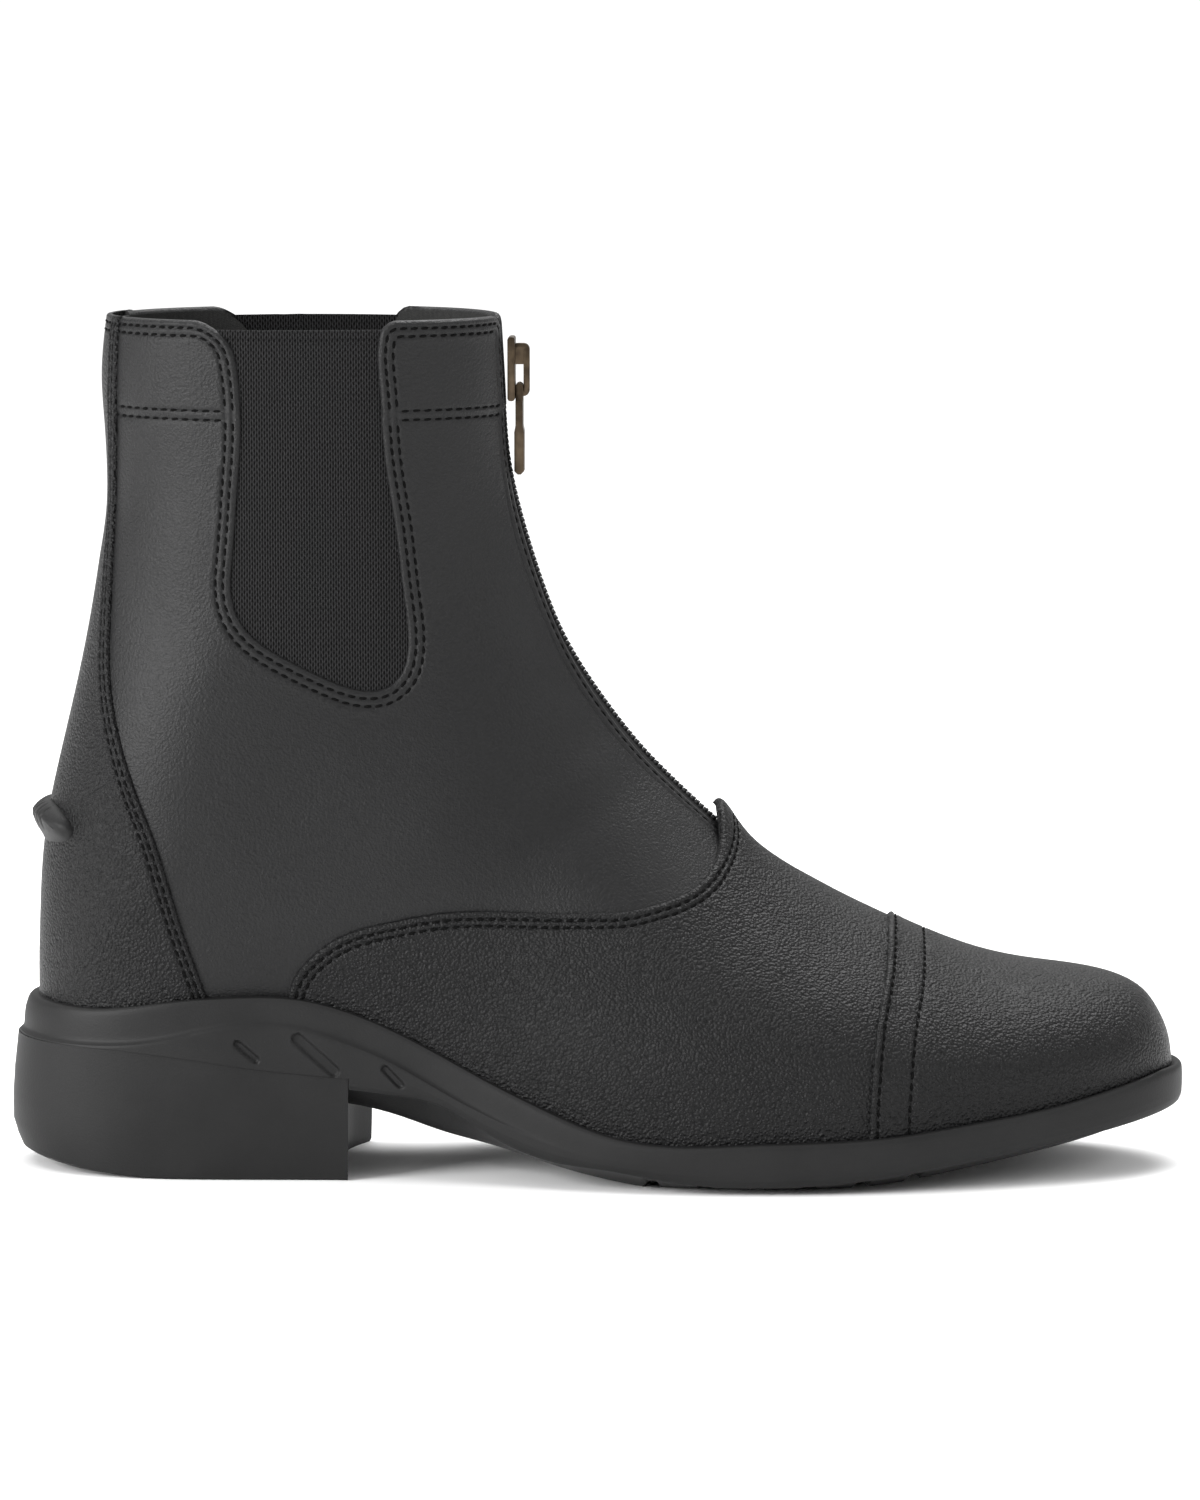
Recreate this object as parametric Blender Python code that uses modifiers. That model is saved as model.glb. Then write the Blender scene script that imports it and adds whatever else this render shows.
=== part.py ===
"""Paddock boot for the right foot, with a front zip and elastic gores.

Frame: metres, +X from the heel to the toe, +Y to the inner side of the foot, +Z up. The origin
lies on the floor under the middle of the heel. Tables hold shares of the named sizes.
"""

import math

import bpy
import bmesh
import numpy as np

# Driving sizes of the last
LENGTH = 0.2855
BALL_WIDTH = 0.0970
HEIGHT = 0.2090
SHAFT_WIDTH = 0.0650
HEEL_REACH = 0.0409

# Sole unit
CUP_HEIGHT = 0.0448
HEEL_LEDGE = 0.0063
TOE_LEDGE = 0.0039
RIM_WIDTH = 0.0030
BED_DROP = 0.0070
TREAD_INSET = 0.0075
GROOVE_WIDTH = 0.0032
GROOVE_DEPTH = 0.0014
GROOVE_PITCH = 0.0125

# Leather, elastic and lining thicknesses
WALL = 0.0022
OVERLAY = 0.0009
CAP_OVERLAY = 0.0016
ELASTIC = 0.0014
INSOLE = 0.0025
SPUR_REST = 0.0028
CLEARANCE = 0.0003

# Zip
ZIP_SLOT = 0.0092
ZIP_TAPE = 0.0015
SLIDER_PLACE = 0.951
SLIDER_WIDTH = 0.0080
SLIDER_PLATE = 0.0018
SLIDER_HEIGHT = 0.0156
BRIDGE_WIDTH = 0.0022
BRIDGE_BAR = 0.0015
BRIDGE_WINDOW = 0.0020
PIN_DIAMETER = 0.0013
PULL_LENGTH = 0.0215
PULL_WIDTH = 0.0058
PULL_NECK = 0.0018
PULL_GRIP = 0.0024

# Mesh steps of the last
FAN_ROWS = 39
SIDE_STEPS = 10
RING_STEPS = 32

BASE_BACK = HEEL_LEDGE - HEEL_REACH
BASE_LENGTH = LENGTH - HEEL_LEDGE - TOE_LEDGE


def table(columns, *rows):
    """One array for each named column."""
    return dict(zip(columns.split(), np.array(rows, dtype=float).T))


# Upper's bottom edge in plan, as shares of BASE_LENGTH along and of BALL_WIDTH out from the middle line
OUTLINE = table(
    "along outer inner middle",
    (0.000, 0.000, 0.000, 0.000),
    (0.045, 0.235, 0.235, 0.000),
    (0.125, 0.303, 0.297, 0.000),
    (0.250, 0.301, 0.262, 0.000),
    (0.380, 0.336, 0.262, 0.000),
    (0.505, 0.433, 0.351, 0.000),
    (0.650, 0.485, 0.431, 0.012),
    (0.780, 0.452, 0.418, 0.029),
    (0.885, 0.354, 0.332, 0.048),
    (0.965, 0.208, 0.195, 0.056),
    (1.000, 0.000, 0.000, 0.058),
)

# Height of the sole's top edge, as a share of CUP_HEIGHT
FEATHER = table(
    "along up",
    (0.000, 0.929),
    (0.060, 0.922),
    (0.130, 0.978),
    (0.185, 1.000),
    (0.235, 0.991),
    (0.290, 0.902),
    (0.345, 0.752),
    (0.400, 0.580),
    (0.455, 0.429),
    (0.510, 0.304),
    (0.560, 0.259),
    (0.640, 0.272),
    (0.740, 0.295),
    (0.830, 0.359),
    (0.910, 0.426),
    (1.000, 0.527),
)

# Outline of the upper from the side: up is the share of the way from the sole's edge to HEIGHT
FRONT_LINE = table(
    "along up",
    (1.000, 0.000),
    (0.999, 0.018),
    (0.996, 0.043),
    (0.989, 0.067),
    (0.978, 0.090),
    (0.961, 0.106),
    (0.941, 0.116),
    (0.907, 0.126),
    (0.871, 0.135),
    (0.836, 0.148),
    (0.800, 0.167),
    (0.762, 0.191),
    (0.724, 0.218),
    (0.675, 0.257),
    (0.635, 0.295),
    (0.602, 0.333),
    (0.567, 0.381),
    (0.539, 0.423),
    (0.517, 0.463),
    (0.498, 0.503),
    (0.481, 0.543),
    (0.467, 0.582),
    (0.446, 0.662),
    (0.430, 0.741),
    (0.419, 0.822),
    (0.416, 0.881),
    (0.411, 1.000),
)
BACK_LINE = table(
    "along up",
    (0.000, 0.000),
    (0.000, 0.050),
    (0.001, 0.110),
    (0.003, 0.182),
    (0.008, 0.256),
    (0.018, 0.336),
    (0.037, 0.468),
    (0.048, 0.557),
    (0.057, 0.645),
    (0.063, 0.711),
    (0.064, 0.777),
    (0.062, 0.845),
    (0.060, 0.910),
    (0.065, 1.000),
)

# Sections that fan round from the toe to the collar. front: share of the front line. base: share of
# the bottom edge, and past 1 up the back. outer and inner: half widths as shares of SHAFT_WIDTH, which
# count behind the arch. widest: place of the widest point on the section. pinch: how narrow its crest is.
FAN = table(
    "front base outer inner widest pinch",
    (0.000, 0.000, 0.52, 0.42, 0.28, 0.00),
    (0.067, 0.085, 0.52, 0.42, 0.28, 0.05),
    (0.180, 0.191, 0.52, 0.42, 0.26, 0.15),
    (0.341, 0.322, 0.52, 0.42, 0.25, 0.30),
    (0.488, 0.459, 0.52, 0.42, 0.25, 0.34),
    (0.617, 0.601, 0.52, 0.42, 0.26, 0.22),
    (0.714, 0.762, 0.49, 0.46, 0.29, 0.02),
    (0.771, 0.913, 0.49, 0.48, 0.31, -0.10),
    (0.813, 1.000, 0.49, 0.49, 0.32, -0.14),
    (0.855, 1.180, 0.49, 0.49, 0.36, -0.16),
    (0.910, 1.500, 0.48, 0.48, 0.43, -0.16),
    (1.000, 2.000, 0.50, 0.50, 0.50, -0.12),
)
FOOT_SWELL = 1.02
SHAFT_FROM = 0.58
SHAFT_FULL = 0.82

# Seams seen from the side, as shares of BASE_LENGTH and HEIGHT
GORE = table(
    "along up",
    (0.172, 1.060),
    (0.172, 1.010),
    (0.178, 0.985),
    (0.186, 0.933),
    (0.188, 0.887),
    (0.184, 0.795),
    (0.180, 0.725),
    (0.179, 0.685),
    (0.186, 0.655),
    (0.201, 0.632),
    (0.231, 0.607),
    (0.266, 0.584),
    (0.296, 0.572),
    (0.314, 0.575),
    (0.327, 0.590),
    (0.333, 0.616),
    (0.330, 0.680),
    (0.323, 0.761),
    (0.314, 0.842),
    (0.310, 0.922),
    (0.309, 0.975),
    (0.314, 1.005),
    (0.317, 1.060),
)
GORE_TOP = 0.975
VAMP_EDGE = table(
    "along up",
    (0.222, 0.180),
    (0.226, 0.210),
    (0.235, 0.243),
    (0.249, 0.264),
    (0.268, 0.283),
    (0.291, 0.296),
    (0.315, 0.304),
    (0.367, 0.316),
    (0.409, 0.318),
    (0.456, 0.317),
    (0.500, 0.317),
    (0.526, 0.318),
    (0.549, 0.324),
    (0.569, 0.331),
    (0.589, 0.345),
    (0.601, 0.364),
    (0.606, 0.387),
    (0.603, 0.409),
    (0.598, 0.440),
    (0.597, 0.470),
)
COUNTER_EDGE = table(
    "along up",
    (0.078, 1.020),
    (0.074, 0.889),
    (0.071, 0.766),
    (0.068, 0.649),
    (0.069, 0.579),
    (0.079, 0.512),
    (0.095, 0.449),
    (0.112, 0.392),
    (0.127, 0.327),
    (0.141, 0.268),
    (0.155, 0.215),
    (0.164, 0.170),
)
CAP_EDGE = table(
    "along up",
    (0.757, 0.400),
    (0.753, 0.298),
    (0.752, 0.242),
    (0.746, 0.200),
    (0.741, 0.140),
    (0.739, 0.098),
    (0.739, 0.020),
)
SPUR_REST_SHAPE = table(
    "along up",
    (-0.040, 0.392),
    (0.000, 0.424),
    (0.012, 0.428),
    (0.022, 0.416),
    (0.029, 0.402),
    (0.028, 0.391),
    (0.018, 0.383),
    (0.000, 0.380),
    (-0.040, 0.376),
)

# Side of the sole unit, bottom to top. Part 0 runs from the underside's edge to the raised line and
# part 1 from there to the top edge. heel and fore are shares of RIM_WIDTH out from the upper.
SOLE_SIDE = table(
    "part level heel fore",
    (0, 0.00, 0.85, 0.85),
    (0, 0.12, 1.15, 1.08),
    (0, 0.50, 1.32, 1.24),
    (0, 0.96, 1.30, 1.24),
    (1, 0.06, 1.02, 1.08),
    (1, 0.75, 0.96, 1.06),
    (1, 1.00, 0.80, 0.96),
)
# Underside: edge and tread heights as shares of CUP_HEIGHT
UNDERSIDE = table(
    "along edge tread",
    (0.000, 0.560, 0.480),
    (0.150, 0.540, 0.430),
    (0.285, 0.495, 0.385),
    (0.325, 0.470, 0.325),
    (0.360, 0.430, 0.255),
    (0.411, 0.268, 0.180),
    (0.464, 0.150, 0.090),
    (0.510, 0.118, 0.030),
    (0.545, 0.085, 0.000),
    (0.580, 0.055, 0.000),
    (0.640, 0.040, 0.000),
    (0.705, 0.055, 0.000),
    (0.745, 0.080, 0.012),
    (0.785, 0.115, 0.045),
    (0.850, 0.180, 0.110),
    (0.923, 0.265, 0.195),
    (1.000, 0.400, 0.320),
)
# Raised line on the sole's side, as a share of CUP_HEIGHT
BAND_LINE = table(
    "along up",
    (0.000, 0.760),
    (0.108, 0.780),
    (0.150, 0.846),
    (0.200, 0.893),
    (0.235, 0.875),
    (0.273, 0.806),
    (0.312, 0.710),
    (0.345, 0.600),
    (0.380, 0.470),
    (0.430, 0.335),
    (0.500, 0.200),
    (0.560, 0.170),
    (0.640, 0.170),
    (0.740, 0.190),
    (0.830, 0.255),
    (0.910, 0.330),
    (1.000, 0.440),
)
# Heel block: top line, bottom line and the back's flare
HEEL_TOP = table(
    "along up",
    (-0.100, 0.730),
    (0.000, 0.722),
    (0.080, 0.712),
    (0.140, 0.672),
    (0.200, 0.612),
    (0.290, 0.560),
    (0.340, 0.540),
)
HEEL_BOTTOM = table(
    "along up",
    (-0.100, 0.110),
    (0.000, 0.080),
    (0.050, 0.030),
    (0.100, 0.000),
    (0.200, 0.000),
    (0.400, 0.000),
)
HEEL_SIDE = table(
    "level out back",
    (0.00, 0.35, 0.00),
    (0.03, 0.60, 0.06),
    (0.25, 0.72, 0.16),
    (0.70, 0.95, 0.10),
    (1.10, 1.15, 0.00),
)
# Front face of the heel block in plan: across is a share of BALL_WIDTH
BREAST = table(
    "across along",
    (-0.700, 0.273),
    (-0.320, 0.272),
    (-0.170, 0.258),
    (0.000, 0.254),
    (0.170, 0.262),
    (0.320, 0.284),
    (0.700, 0.290),
)
LEATHER = ((0.030, 0.030, 0.031), 0.48, 0.0)
ELASTIC_CLOTH = ((0.022, 0.022, 0.024), 0.85, 0.0)
RUBBER = ((0.040, 0.040, 0.041), 0.60, 0.0)
BRONZE = ((0.115, 0.088, 0.062), 0.38, 1.0)
LINING = ((0.070, 0.066, 0.062), 0.80, 0.0)


class Spline:
    """Natural cubic curve through knots."""

    def __init__(self, places, values):
        self.places = np.asarray(places, dtype=float)
        self.values = np.asarray(values, dtype=float)
        count = len(self.places)
        step = np.diff(self.places)
        system = np.eye(count)
        right = np.zeros(count)
        for i in range(1, count - 1):
            system[i, i - 1] = step[i - 1]
            system[i, i] = 2 * (step[i - 1] + step[i])
            system[i, i + 1] = step[i]
            rise = (self.values[i + 1] - self.values[i]) / step[i]
            fall = (self.values[i] - self.values[i - 1]) / step[i - 1]
            right[i] = 6 * (rise - fall)
        self.bend = np.linalg.solve(system, right)

    def __call__(self, place):
        place = np.clip(place, self.places[0], self.places[-1])
        i = np.clip(np.searchsorted(self.places, place) - 1, 0, len(self.places) - 2)
        step = self.places[i + 1] - self.places[i]
        left = (self.places[i + 1] - place) / step
        right = 1 - left
        cubic = (left**3 - left) * self.bend[i] + (right**3 - right) * self.bend[i + 1]
        return left * self.values[i] + right * self.values[i + 1] + cubic * step**2 / 6


class Line:
    """Smooth line through points in the side view, read by the share of its length."""

    DENSE = 1200

    def __init__(self, x, z):
        reach = np.concatenate([[0], np.cumsum(np.hypot(np.diff(x), np.diff(z)))])
        fine = np.linspace(0, reach[-1], self.DENSE)
        self.x = Spline(reach, x)(fine)
        self.z = Spline(reach, z)(fine)
        run = np.concatenate([[0], np.cumsum(np.hypot(np.diff(self.x), np.diff(self.z)))])
        self.share = run / run[-1]

    def at(self, share):
        return np.interp(share, self.share, self.x), np.interp(share, self.share, self.z)


def place_x(along):
    """X of a share of the upper's base length."""
    return BASE_BACK + along * BASE_LENGTH


def turn(along):
    """Even steps of this angle crowd points at both ends, where the outline is round."""
    return np.arccos(1 - 2 * np.clip(along, 0, 1))


TURNS = turn(OUTLINE["along"])
OUTER = Spline(TURNS, OUTLINE["outer"] * BALL_WIDTH)
INNER = Spline(TURNS, OUTLINE["inner"] * BALL_WIDTH)
MIDDLE = Spline(OUTLINE["along"], OUTLINE["middle"] * BALL_WIDTH)
EDGE_HEIGHT = Spline(FEATHER["along"], FEATHER["up"] * CUP_HEIGHT)
BAND_HEIGHT = Spline(BAND_LINE["along"], BAND_LINE["up"] * CUP_HEIGHT)
UNDER_EDGE = Spline(UNDERSIDE["along"], UNDERSIDE["edge"] * CUP_HEIGHT)
UNDER_TREAD = Spline(UNDERSIDE["along"], UNDERSIDE["tread"] * CUP_HEIGHT)


def side_line(shape, foot_height):
    """Outline of the upper from the side, which starts at the sole's edge."""
    return Line(place_x(shape["along"]), foot_height + shape["up"] * (HEIGHT - foot_height))


FRONT = side_line(FRONT_LINE, EDGE_HEIGHT(1.0))
BACK = side_line(BACK_LINE, EDGE_HEIGHT(0.0))


def base_path():
    """Bottom edge from the toe's tip round the outer side to the heel's back, by share of length."""
    angle = np.linspace(math.pi, 0, 1200)
    along = (1 - np.cos(angle)) / 2
    run = np.hypot(np.diff(place_x(along)), np.diff(OUTER(angle)))
    reach = np.concatenate([[0], np.cumsum(run)])
    return reach / reach[-1], angle


BASE_SHARE, BASE_ANGLE = base_path()


def fan_column(name, scale=1.0):
    return Spline(FAN["base"], FAN[name] * scale)


FAN_FRONT = fan_column("front")
FAN_OUTER = fan_column("outer", SHAFT_WIDTH)
FAN_INNER = fan_column("inner", SHAFT_WIDTH)
FAN_WIDEST = fan_column("widest")
FAN_PINCH = fan_column("pinch")


def smooth_step(low, high, value):
    share = np.clip((value - low) / (high - low), 0, 1)
    return share * share * (3 - 2 * share)


def section(base, side, share):
    """Points of one section of the last: share runs from its base (0) to the front line (1)."""
    front_x, front_z = FRONT.at(float(FAN_FRONT(base)))
    if base <= 1:
        angle = np.interp(base, BASE_SHARE, BASE_ANGLE)
        along = (1 - math.cos(angle)) / 2
        base_x, base_z = place_x(along), EDGE_HEIGHT(along)
        foot = float((INNER if side > 0 else OUTER)(angle))
    else:
        base_x, base_z = BACK.at(base - 1)
        foot = 0.0
    shaft = float((FAN_INNER if side > 0 else FAN_OUTER)(base))
    wide = foot * FOOT_SWELL + (shaft - foot * FOOT_SWELL) * smooth_step(SHAFT_FROM, SHAFT_FULL, base)
    widest = float(FAN_WIDEST(base))
    pinch = float(FAN_PINCH(base))
    x = base_x + (front_x - base_x) * share
    z = base_z + (front_z - base_z) * share
    below = np.clip(1 - share / widest, 0, 1)
    above = np.clip((share - widest) / (1 - widest), 0, 1)
    lower = np.sqrt(np.maximum(wide**2 - (wide**2 - foot**2) * below**2, 0))
    upper = wide * np.sqrt(np.maximum(1 - above**2, 0)) * (1 - pinch * above**2)
    half = np.where(share < widest, lower, upper)
    half = np.where(share >= 1, 0, half)
    y = MIDDLE((x - BASE_BACK) / BASE_LENGTH) + side * half
    return np.column_stack([x, y, z])


def last_surface(name, first=0.0, last=2.0):
    """Skin of the last between two sections, open at its bottom and at its ends.

    Every layer takes the same sections, so that layers lie parallel, facet on facet.
    """
    angle = np.linspace(0, math.pi / 2, SIDE_STEPS + 1)
    crowd_front = np.sin(angle)
    crowd_both = (1 - np.cos(2 * angle)) / 2
    bases = [base for base in np.linspace(0, 2, FAN_ROWS) if first <= base <= last]
    mesh = bmesh.new()
    grid = []
    for base in bases:
        closing = float(smooth_step(0.8, 1.02, base))
        share = crowd_front + (crowd_both - crowd_front) * closing
        outer = section(base, -1, share)
        inner = section(base, 1, share)
        loop = np.vstack([outer, inner[-2::-1]])
        grid.append([mesh.verts.new(point) for point in loop])
    for row, above in zip(grid[:-1], grid[1:]):
        for i in range(len(row) - 1):
            mesh.faces.new((row[i], row[i + 1], above[i + 1], above[i]))
    bmesh.ops.remove_doubles(mesh, verts=mesh.verts, dist=1e-5)
    bmesh.ops.triangulate(mesh, faces=mesh.faces, quad_method="SHORT_EDGE")
    bmesh.ops.recalc_face_normals(mesh, faces=mesh.faces)
    data = bpy.data.meshes.new(name)
    mesh.to_mesh(data)
    mesh.free()
    return bpy.data.objects.new(name, data)


def point_outward(obj):
    """Turns the faces of an open skin away from the last's inside."""
    mesh = bmesh.new()
    mesh.from_mesh(obj.data)
    mesh.normal_update()
    side = sum(face.normal.y * face.calc_center_median().y * face.calc_area() for face in mesh.faces)
    if side < 0:
        bmesh.ops.reverse_faces(mesh, faces=mesh.faces)
    mesh.to_mesh(obj.data)
    mesh.free()


def push_out(obj, distance):
    """Moves a skin along its own normals."""
    mesh = bmesh.new()
    mesh.from_mesh(obj.data)
    mesh.normal_update()
    for vert in mesh.verts:
        vert.co += vert.normal * distance
    mesh.to_mesh(obj.data)
    mesh.free()


def collection(name):
    group = bpy.data.collections.new(name)
    bpy.context.scene.collection.children.link(group)
    return group


def finish(obj, colour, roughness, metallic):
    """Gives a part its material and smooth shading."""
    material = bpy.data.materials.new(obj.name)
    material.use_nodes = True
    shader = material.node_tree.nodes["Principled BSDF"]
    shader.inputs["Base Color"].default_value = (*colour, 1)
    shader.inputs["Roughness"].default_value = roughness
    shader.inputs["Metallic"].default_value = metallic
    obj.data.materials.clear()
    obj.data.materials.append(material)
    obj.data.shade_smooth()
    obj.data.set_sharp_from_angle(angle=math.radians(35))
    return obj


def keep(obj, look):
    PARTS.objects.link(obj)
    return finish(obj, *look)


def as_cutter(obj):
    for group in list(obj.users_collection):
        group.objects.unlink(obj)
    CUTTERS.objects.link(obj)
    obj.hide_render = True
    obj.display_type = "WIRE"
    return obj


def boolean(obj, cutter, operation):
    modifier = obj.modifiers.new(f"{operation.title()} {cutter.name}", "BOOLEAN")
    modifier.operation = operation
    modifier.object = cutter
    modifier.solver = "EXACT"
    return obj


def thicken(obj, thickness, outward):
    modifier = obj.modifiers.new("Thickness", "SOLIDIFY")
    modifier.thickness = thickness
    modifier.offset = 1 if outward else -1
    return obj


def smooth_points(x, z, spans=3):
    """Points of a smooth line through a table's rows."""
    reach = np.concatenate([[0], np.cumsum(np.hypot(np.diff(x), np.diff(z)))])
    fine = np.interp(np.linspace(0, len(reach) - 1, spans * (len(reach) - 1) + 1), range(len(reach)), reach)
    return np.column_stack([Spline(reach, x)(fine), Spline(reach, z)(fine)])


def seam_points(shape, spans=2):
    return smooth_points(place_x(shape["along"]), shape["up"] * HEIGHT, spans)


def face_out(mesh):
    """Turns the faces of a closed mesh outward."""
    bmesh.ops.recalc_face_normals(mesh, faces=mesh.faces)
    if mesh.calc_volume(signed=True) < 0:
        bmesh.ops.reverse_faces(mesh, faces=mesh.faces)


def flat_solid(name, outlines, low, high, upright=False):
    """Outline in the side view (or in plan, where upright) drawn out from low to high.

    Outlines after the first one are holes in it.
    """
    curve = bpy.data.curves.new(name, "CURVE")
    curve.dimensions = "2D"
    curve.fill_mode = "BOTH"
    curve.extrude = (high - low) / 2
    for points in outlines:
        spline = curve.splines.new("POLY")
        spline.points.add(len(points) - 1)
        for target, (across, up) in zip(spline.points, points):
            target.co = (across, up, 0, 1)
        spline.use_cyclic_u = True
    guide = bpy.data.objects.new(f"{name}_outline", curve)
    bpy.context.scene.collection.objects.link(guide)
    depsgraph = bpy.context.evaluated_depsgraph_get()
    data = bpy.data.meshes.new_from_object(guide.evaluated_get(depsgraph))
    bpy.data.objects.remove(guide)
    mesh = bmesh.new()
    mesh.from_mesh(data)
    bmesh.ops.remove_doubles(mesh, verts=mesh.verts, dist=1e-6)
    middle = (low + high) / 2
    for vert in mesh.verts:
        across, up, depth = vert.co
        vert.co = (across, up, depth + middle) if upright else (across, depth + middle, up)
    face_out(mesh)
    mesh.to_mesh(data)
    mesh.free()
    data.name = name
    return bpy.data.objects.new(name, data)


def side_prism(name, points):
    return as_cutter(flat_solid(name, [points], -BALL_WIDTH, BALL_WIDTH))


def inset(points, distance):
    """Closed outline moved inward by a distance."""
    points = np.asarray(points)
    ahead = np.roll(points, -1, axis=0) - points
    behind = points - np.roll(points, 1, axis=0)
    tangent = ahead / np.linalg.norm(ahead, axis=1)[:, None]
    tangent += behind / np.linalg.norm(behind, axis=1)[:, None]
    tangent /= np.linalg.norm(tangent, axis=1)[:, None]
    normal = np.column_stack([-tangent[:, 1], tangent[:, 0]])
    x, z = points.T
    area = np.sum(x * np.roll(z, -1) - np.roll(x, -1) * z)
    return points + normal * math.copysign(distance, area)


def base_ring(out, back=0.0):
    """Plan points round the upper's bottom edge, moved out: outer side first, then the inner side."""
    angle = np.linspace(0, math.pi, RING_STEPS + 1)
    along = (1 - np.cos(angle)) / 2
    x = place_x(along)
    middle = MIDDLE(along)
    outer = np.column_stack([x, middle - OUTER(angle)])
    inner = np.column_stack([x, middle + INNER(angle)])
    ring = np.vstack([outer, inner[-2:0:-1]])
    tangent = np.roll(ring, -1, axis=0) - np.roll(ring, 1, axis=0)
    tangent /= np.linalg.norm(tangent, axis=1)[:, None]
    normal = np.column_stack([tangent[:, 1], -tangent[:, 0]])
    share = np.concatenate([along, along[-2:0:-1]])
    if not np.isscalar(out):
        out = out(share)[:, None]
    moved = ring + normal * out
    moved[:, 0] -= back * np.clip(1 - share / 0.12, 0, 1)
    return moved, share


def ring_solid(name, levels):
    """Closed solid from a stack of rings, bottom to top, each a pair of plan points and heights."""
    mesh = bmesh.new()
    rings = []
    for plan, heights in levels:
        rings.append([mesh.verts.new((x, y, z)) for (x, y), z in zip(plan, heights)])
    count = len(rings[0])
    for low, high in zip(rings[:-1], rings[1:]):
        for i in range(count):
            j = (i + 1) % count
            mesh.faces.new((low[i], low[j], high[j], high[i]))
    half = count // 2
    for ring in (rings[0], rings[-1]):
        for i in range(half):
            across = [ring[i], ring[i + 1], ring[(count - i - 1) % count], ring[(count - i) % count]]
            mesh.faces.new(list(dict.fromkeys(across)))
    bmesh.ops.triangulate(mesh, faces=mesh.faces)
    face_out(mesh)
    data = bpy.data.meshes.new(name)
    mesh.to_mesh(data)
    mesh.free()
    return bpy.data.objects.new(name, data)


def fore_share(along):
    """0 along the heel and 1 from the ball forward."""
    return smooth_step(0.35, 0.55, along)


def tread_height(along):
    """Underside of the sole, flat under the ball of the foot."""
    return np.maximum(UNDER_TREAD(along), 0)


def height_at(plan, heights):
    """Heights over plan points, read from their own place along the sole."""
    return heights(np.clip((plan[:, 0] - BASE_BACK) / BASE_LENGTH, 0, 1))


def rim_out(heel, fore):
    return lambda along: RIM_WIDTH * (heel + (fore - heel) * fore_share(along))


def bed_height(along):
    """Top of the sole inside the upper."""
    return EDGE_HEIGHT(along) - CLEARANCE - BED_DROP * (1 - smooth_step(0.22, 0.50, along))


def make_sole():
    """Moulded unit with a cup round the heel, a raised line on its side and a grooved tread."""
    levels = []
    plan, along = base_ring(-TREAD_INSET)
    levels.append((plan, tread_height(along)))
    for part, level, heel, fore in zip(*SOLE_SIDE.values()):
        plan, along = base_ring(rim_out(heel, fore))
        line = BAND_HEIGHT(along)
        low = line if part else UNDER_EDGE(along)
        high = height_at(plan, EDGE_HEIGHT) if part else line
        levels.append((plan, low + (high - low) * level))
    ledge = WALL + 2 * CLEARANCE
    plan, _ = base_ring(-ledge)
    levels.append((plan, height_at(plan, EDGE_HEIGHT)))
    plan, _ = base_ring(-ledge - CLEARANCE)
    levels.append((plan, height_at(plan, bed_height) - CLEARANCE))
    sole = keep(ring_solid("sole", levels), RUBBER)
    boolean(sole, heel_space("sole_heel_space", 0.0), "DIFFERENCE")
    for cutter in tread_grooves():
        boolean(sole, cutter, "DIFFERENCE")
    return sole


def heel_space(name, clearance):
    """Space of the heel block: behind the breast and below its top line."""
    top = np.column_stack([place_x(HEEL_TOP["along"]), HEEL_TOP["up"] * CUP_HEIGHT - clearance])
    front = place_x(1.0)
    side_view = np.vstack([top, [(front, top[-1, 1]), (front, -CUP_HEIGHT), (top[0, 0], -CUP_HEIGHT)]])
    space = side_prism(name, side_view)
    across = BREAST["across"] * BALL_WIDTH
    breast = smooth_points(across, place_x(BREAST["along"]) - clearance, 4)[:, ::-1]
    back = top[0, 0]
    plan = np.vstack([breast, [(back, breast[-1, 1]), (back, breast[0, 1])]])
    ahead = as_cutter(flat_solid(f"{name}_breast", [plan], -2 * CUP_HEIGHT, 2 * CUP_HEIGHT, upright=True))
    boolean(space, ahead, "INTERSECT")
    return space


def make_heel():
    """Heel block under the cup, with a flared back and a hollowed breast."""
    levels = []
    for level, out, back in zip(HEEL_SIDE["level"], HEEL_SIDE["out"], HEEL_SIDE["back"]):
        plan, along = base_ring(RIM_WIDTH * out, HEEL_LEDGE * (0.4 + 3 * back))
        low = np.interp(along, HEEL_BOTTOM["along"], HEEL_BOTTOM["up"]) * CUP_HEIGHT
        top = np.interp(along, HEEL_TOP["along"], HEEL_TOP["up"]) * CUP_HEIGHT
        levels.append((plan, low + (top - low) * level))
    heel = keep(ring_solid("heel", levels), RUBBER)
    boolean(heel, heel_space("heel_shape", CLEARANCE), "INTERSECT")
    return heel


def tread_grooves():
    """Shallow cross grooves under the ball of the foot."""
    grooves = []
    first = place_x(0.55)
    count = int((place_x(0.80) - first) / GROOVE_PITCH) + 1
    for i in range(count):
        middle = first + i * GROOVE_PITCH
        along = (middle - BASE_BACK) / BASE_LENGTH
        floor = float(tread_height(along))
        bpy.ops.mesh.primitive_cube_add(size=1)
        groove = bpy.context.object
        groove.name = f"tread_groove_{i}"
        groove.scale = (GROOVE_WIDTH, 2 * BALL_WIDTH, 2 * GROOVE_DEPTH)
        groove.location = (middle, 0, floor)
        grooves.append(as_cutter(groove))
    return grooves


def make_insole():
    """Footbed on the sole's bed, inside the upper."""
    inside = -(WALL + 5 * CLEARANCE)
    plan, _ = base_ring(inside)
    low = height_at(plan, bed_height)
    return keep(ring_solid("insole", [(plan, low), (plan, low + INSOLE)]), LINING)


def gore_outline(gap=0.0):
    """Outline of the elastic's opening, open above the collar."""
    return inset(seam_points(GORE), gap)


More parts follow.
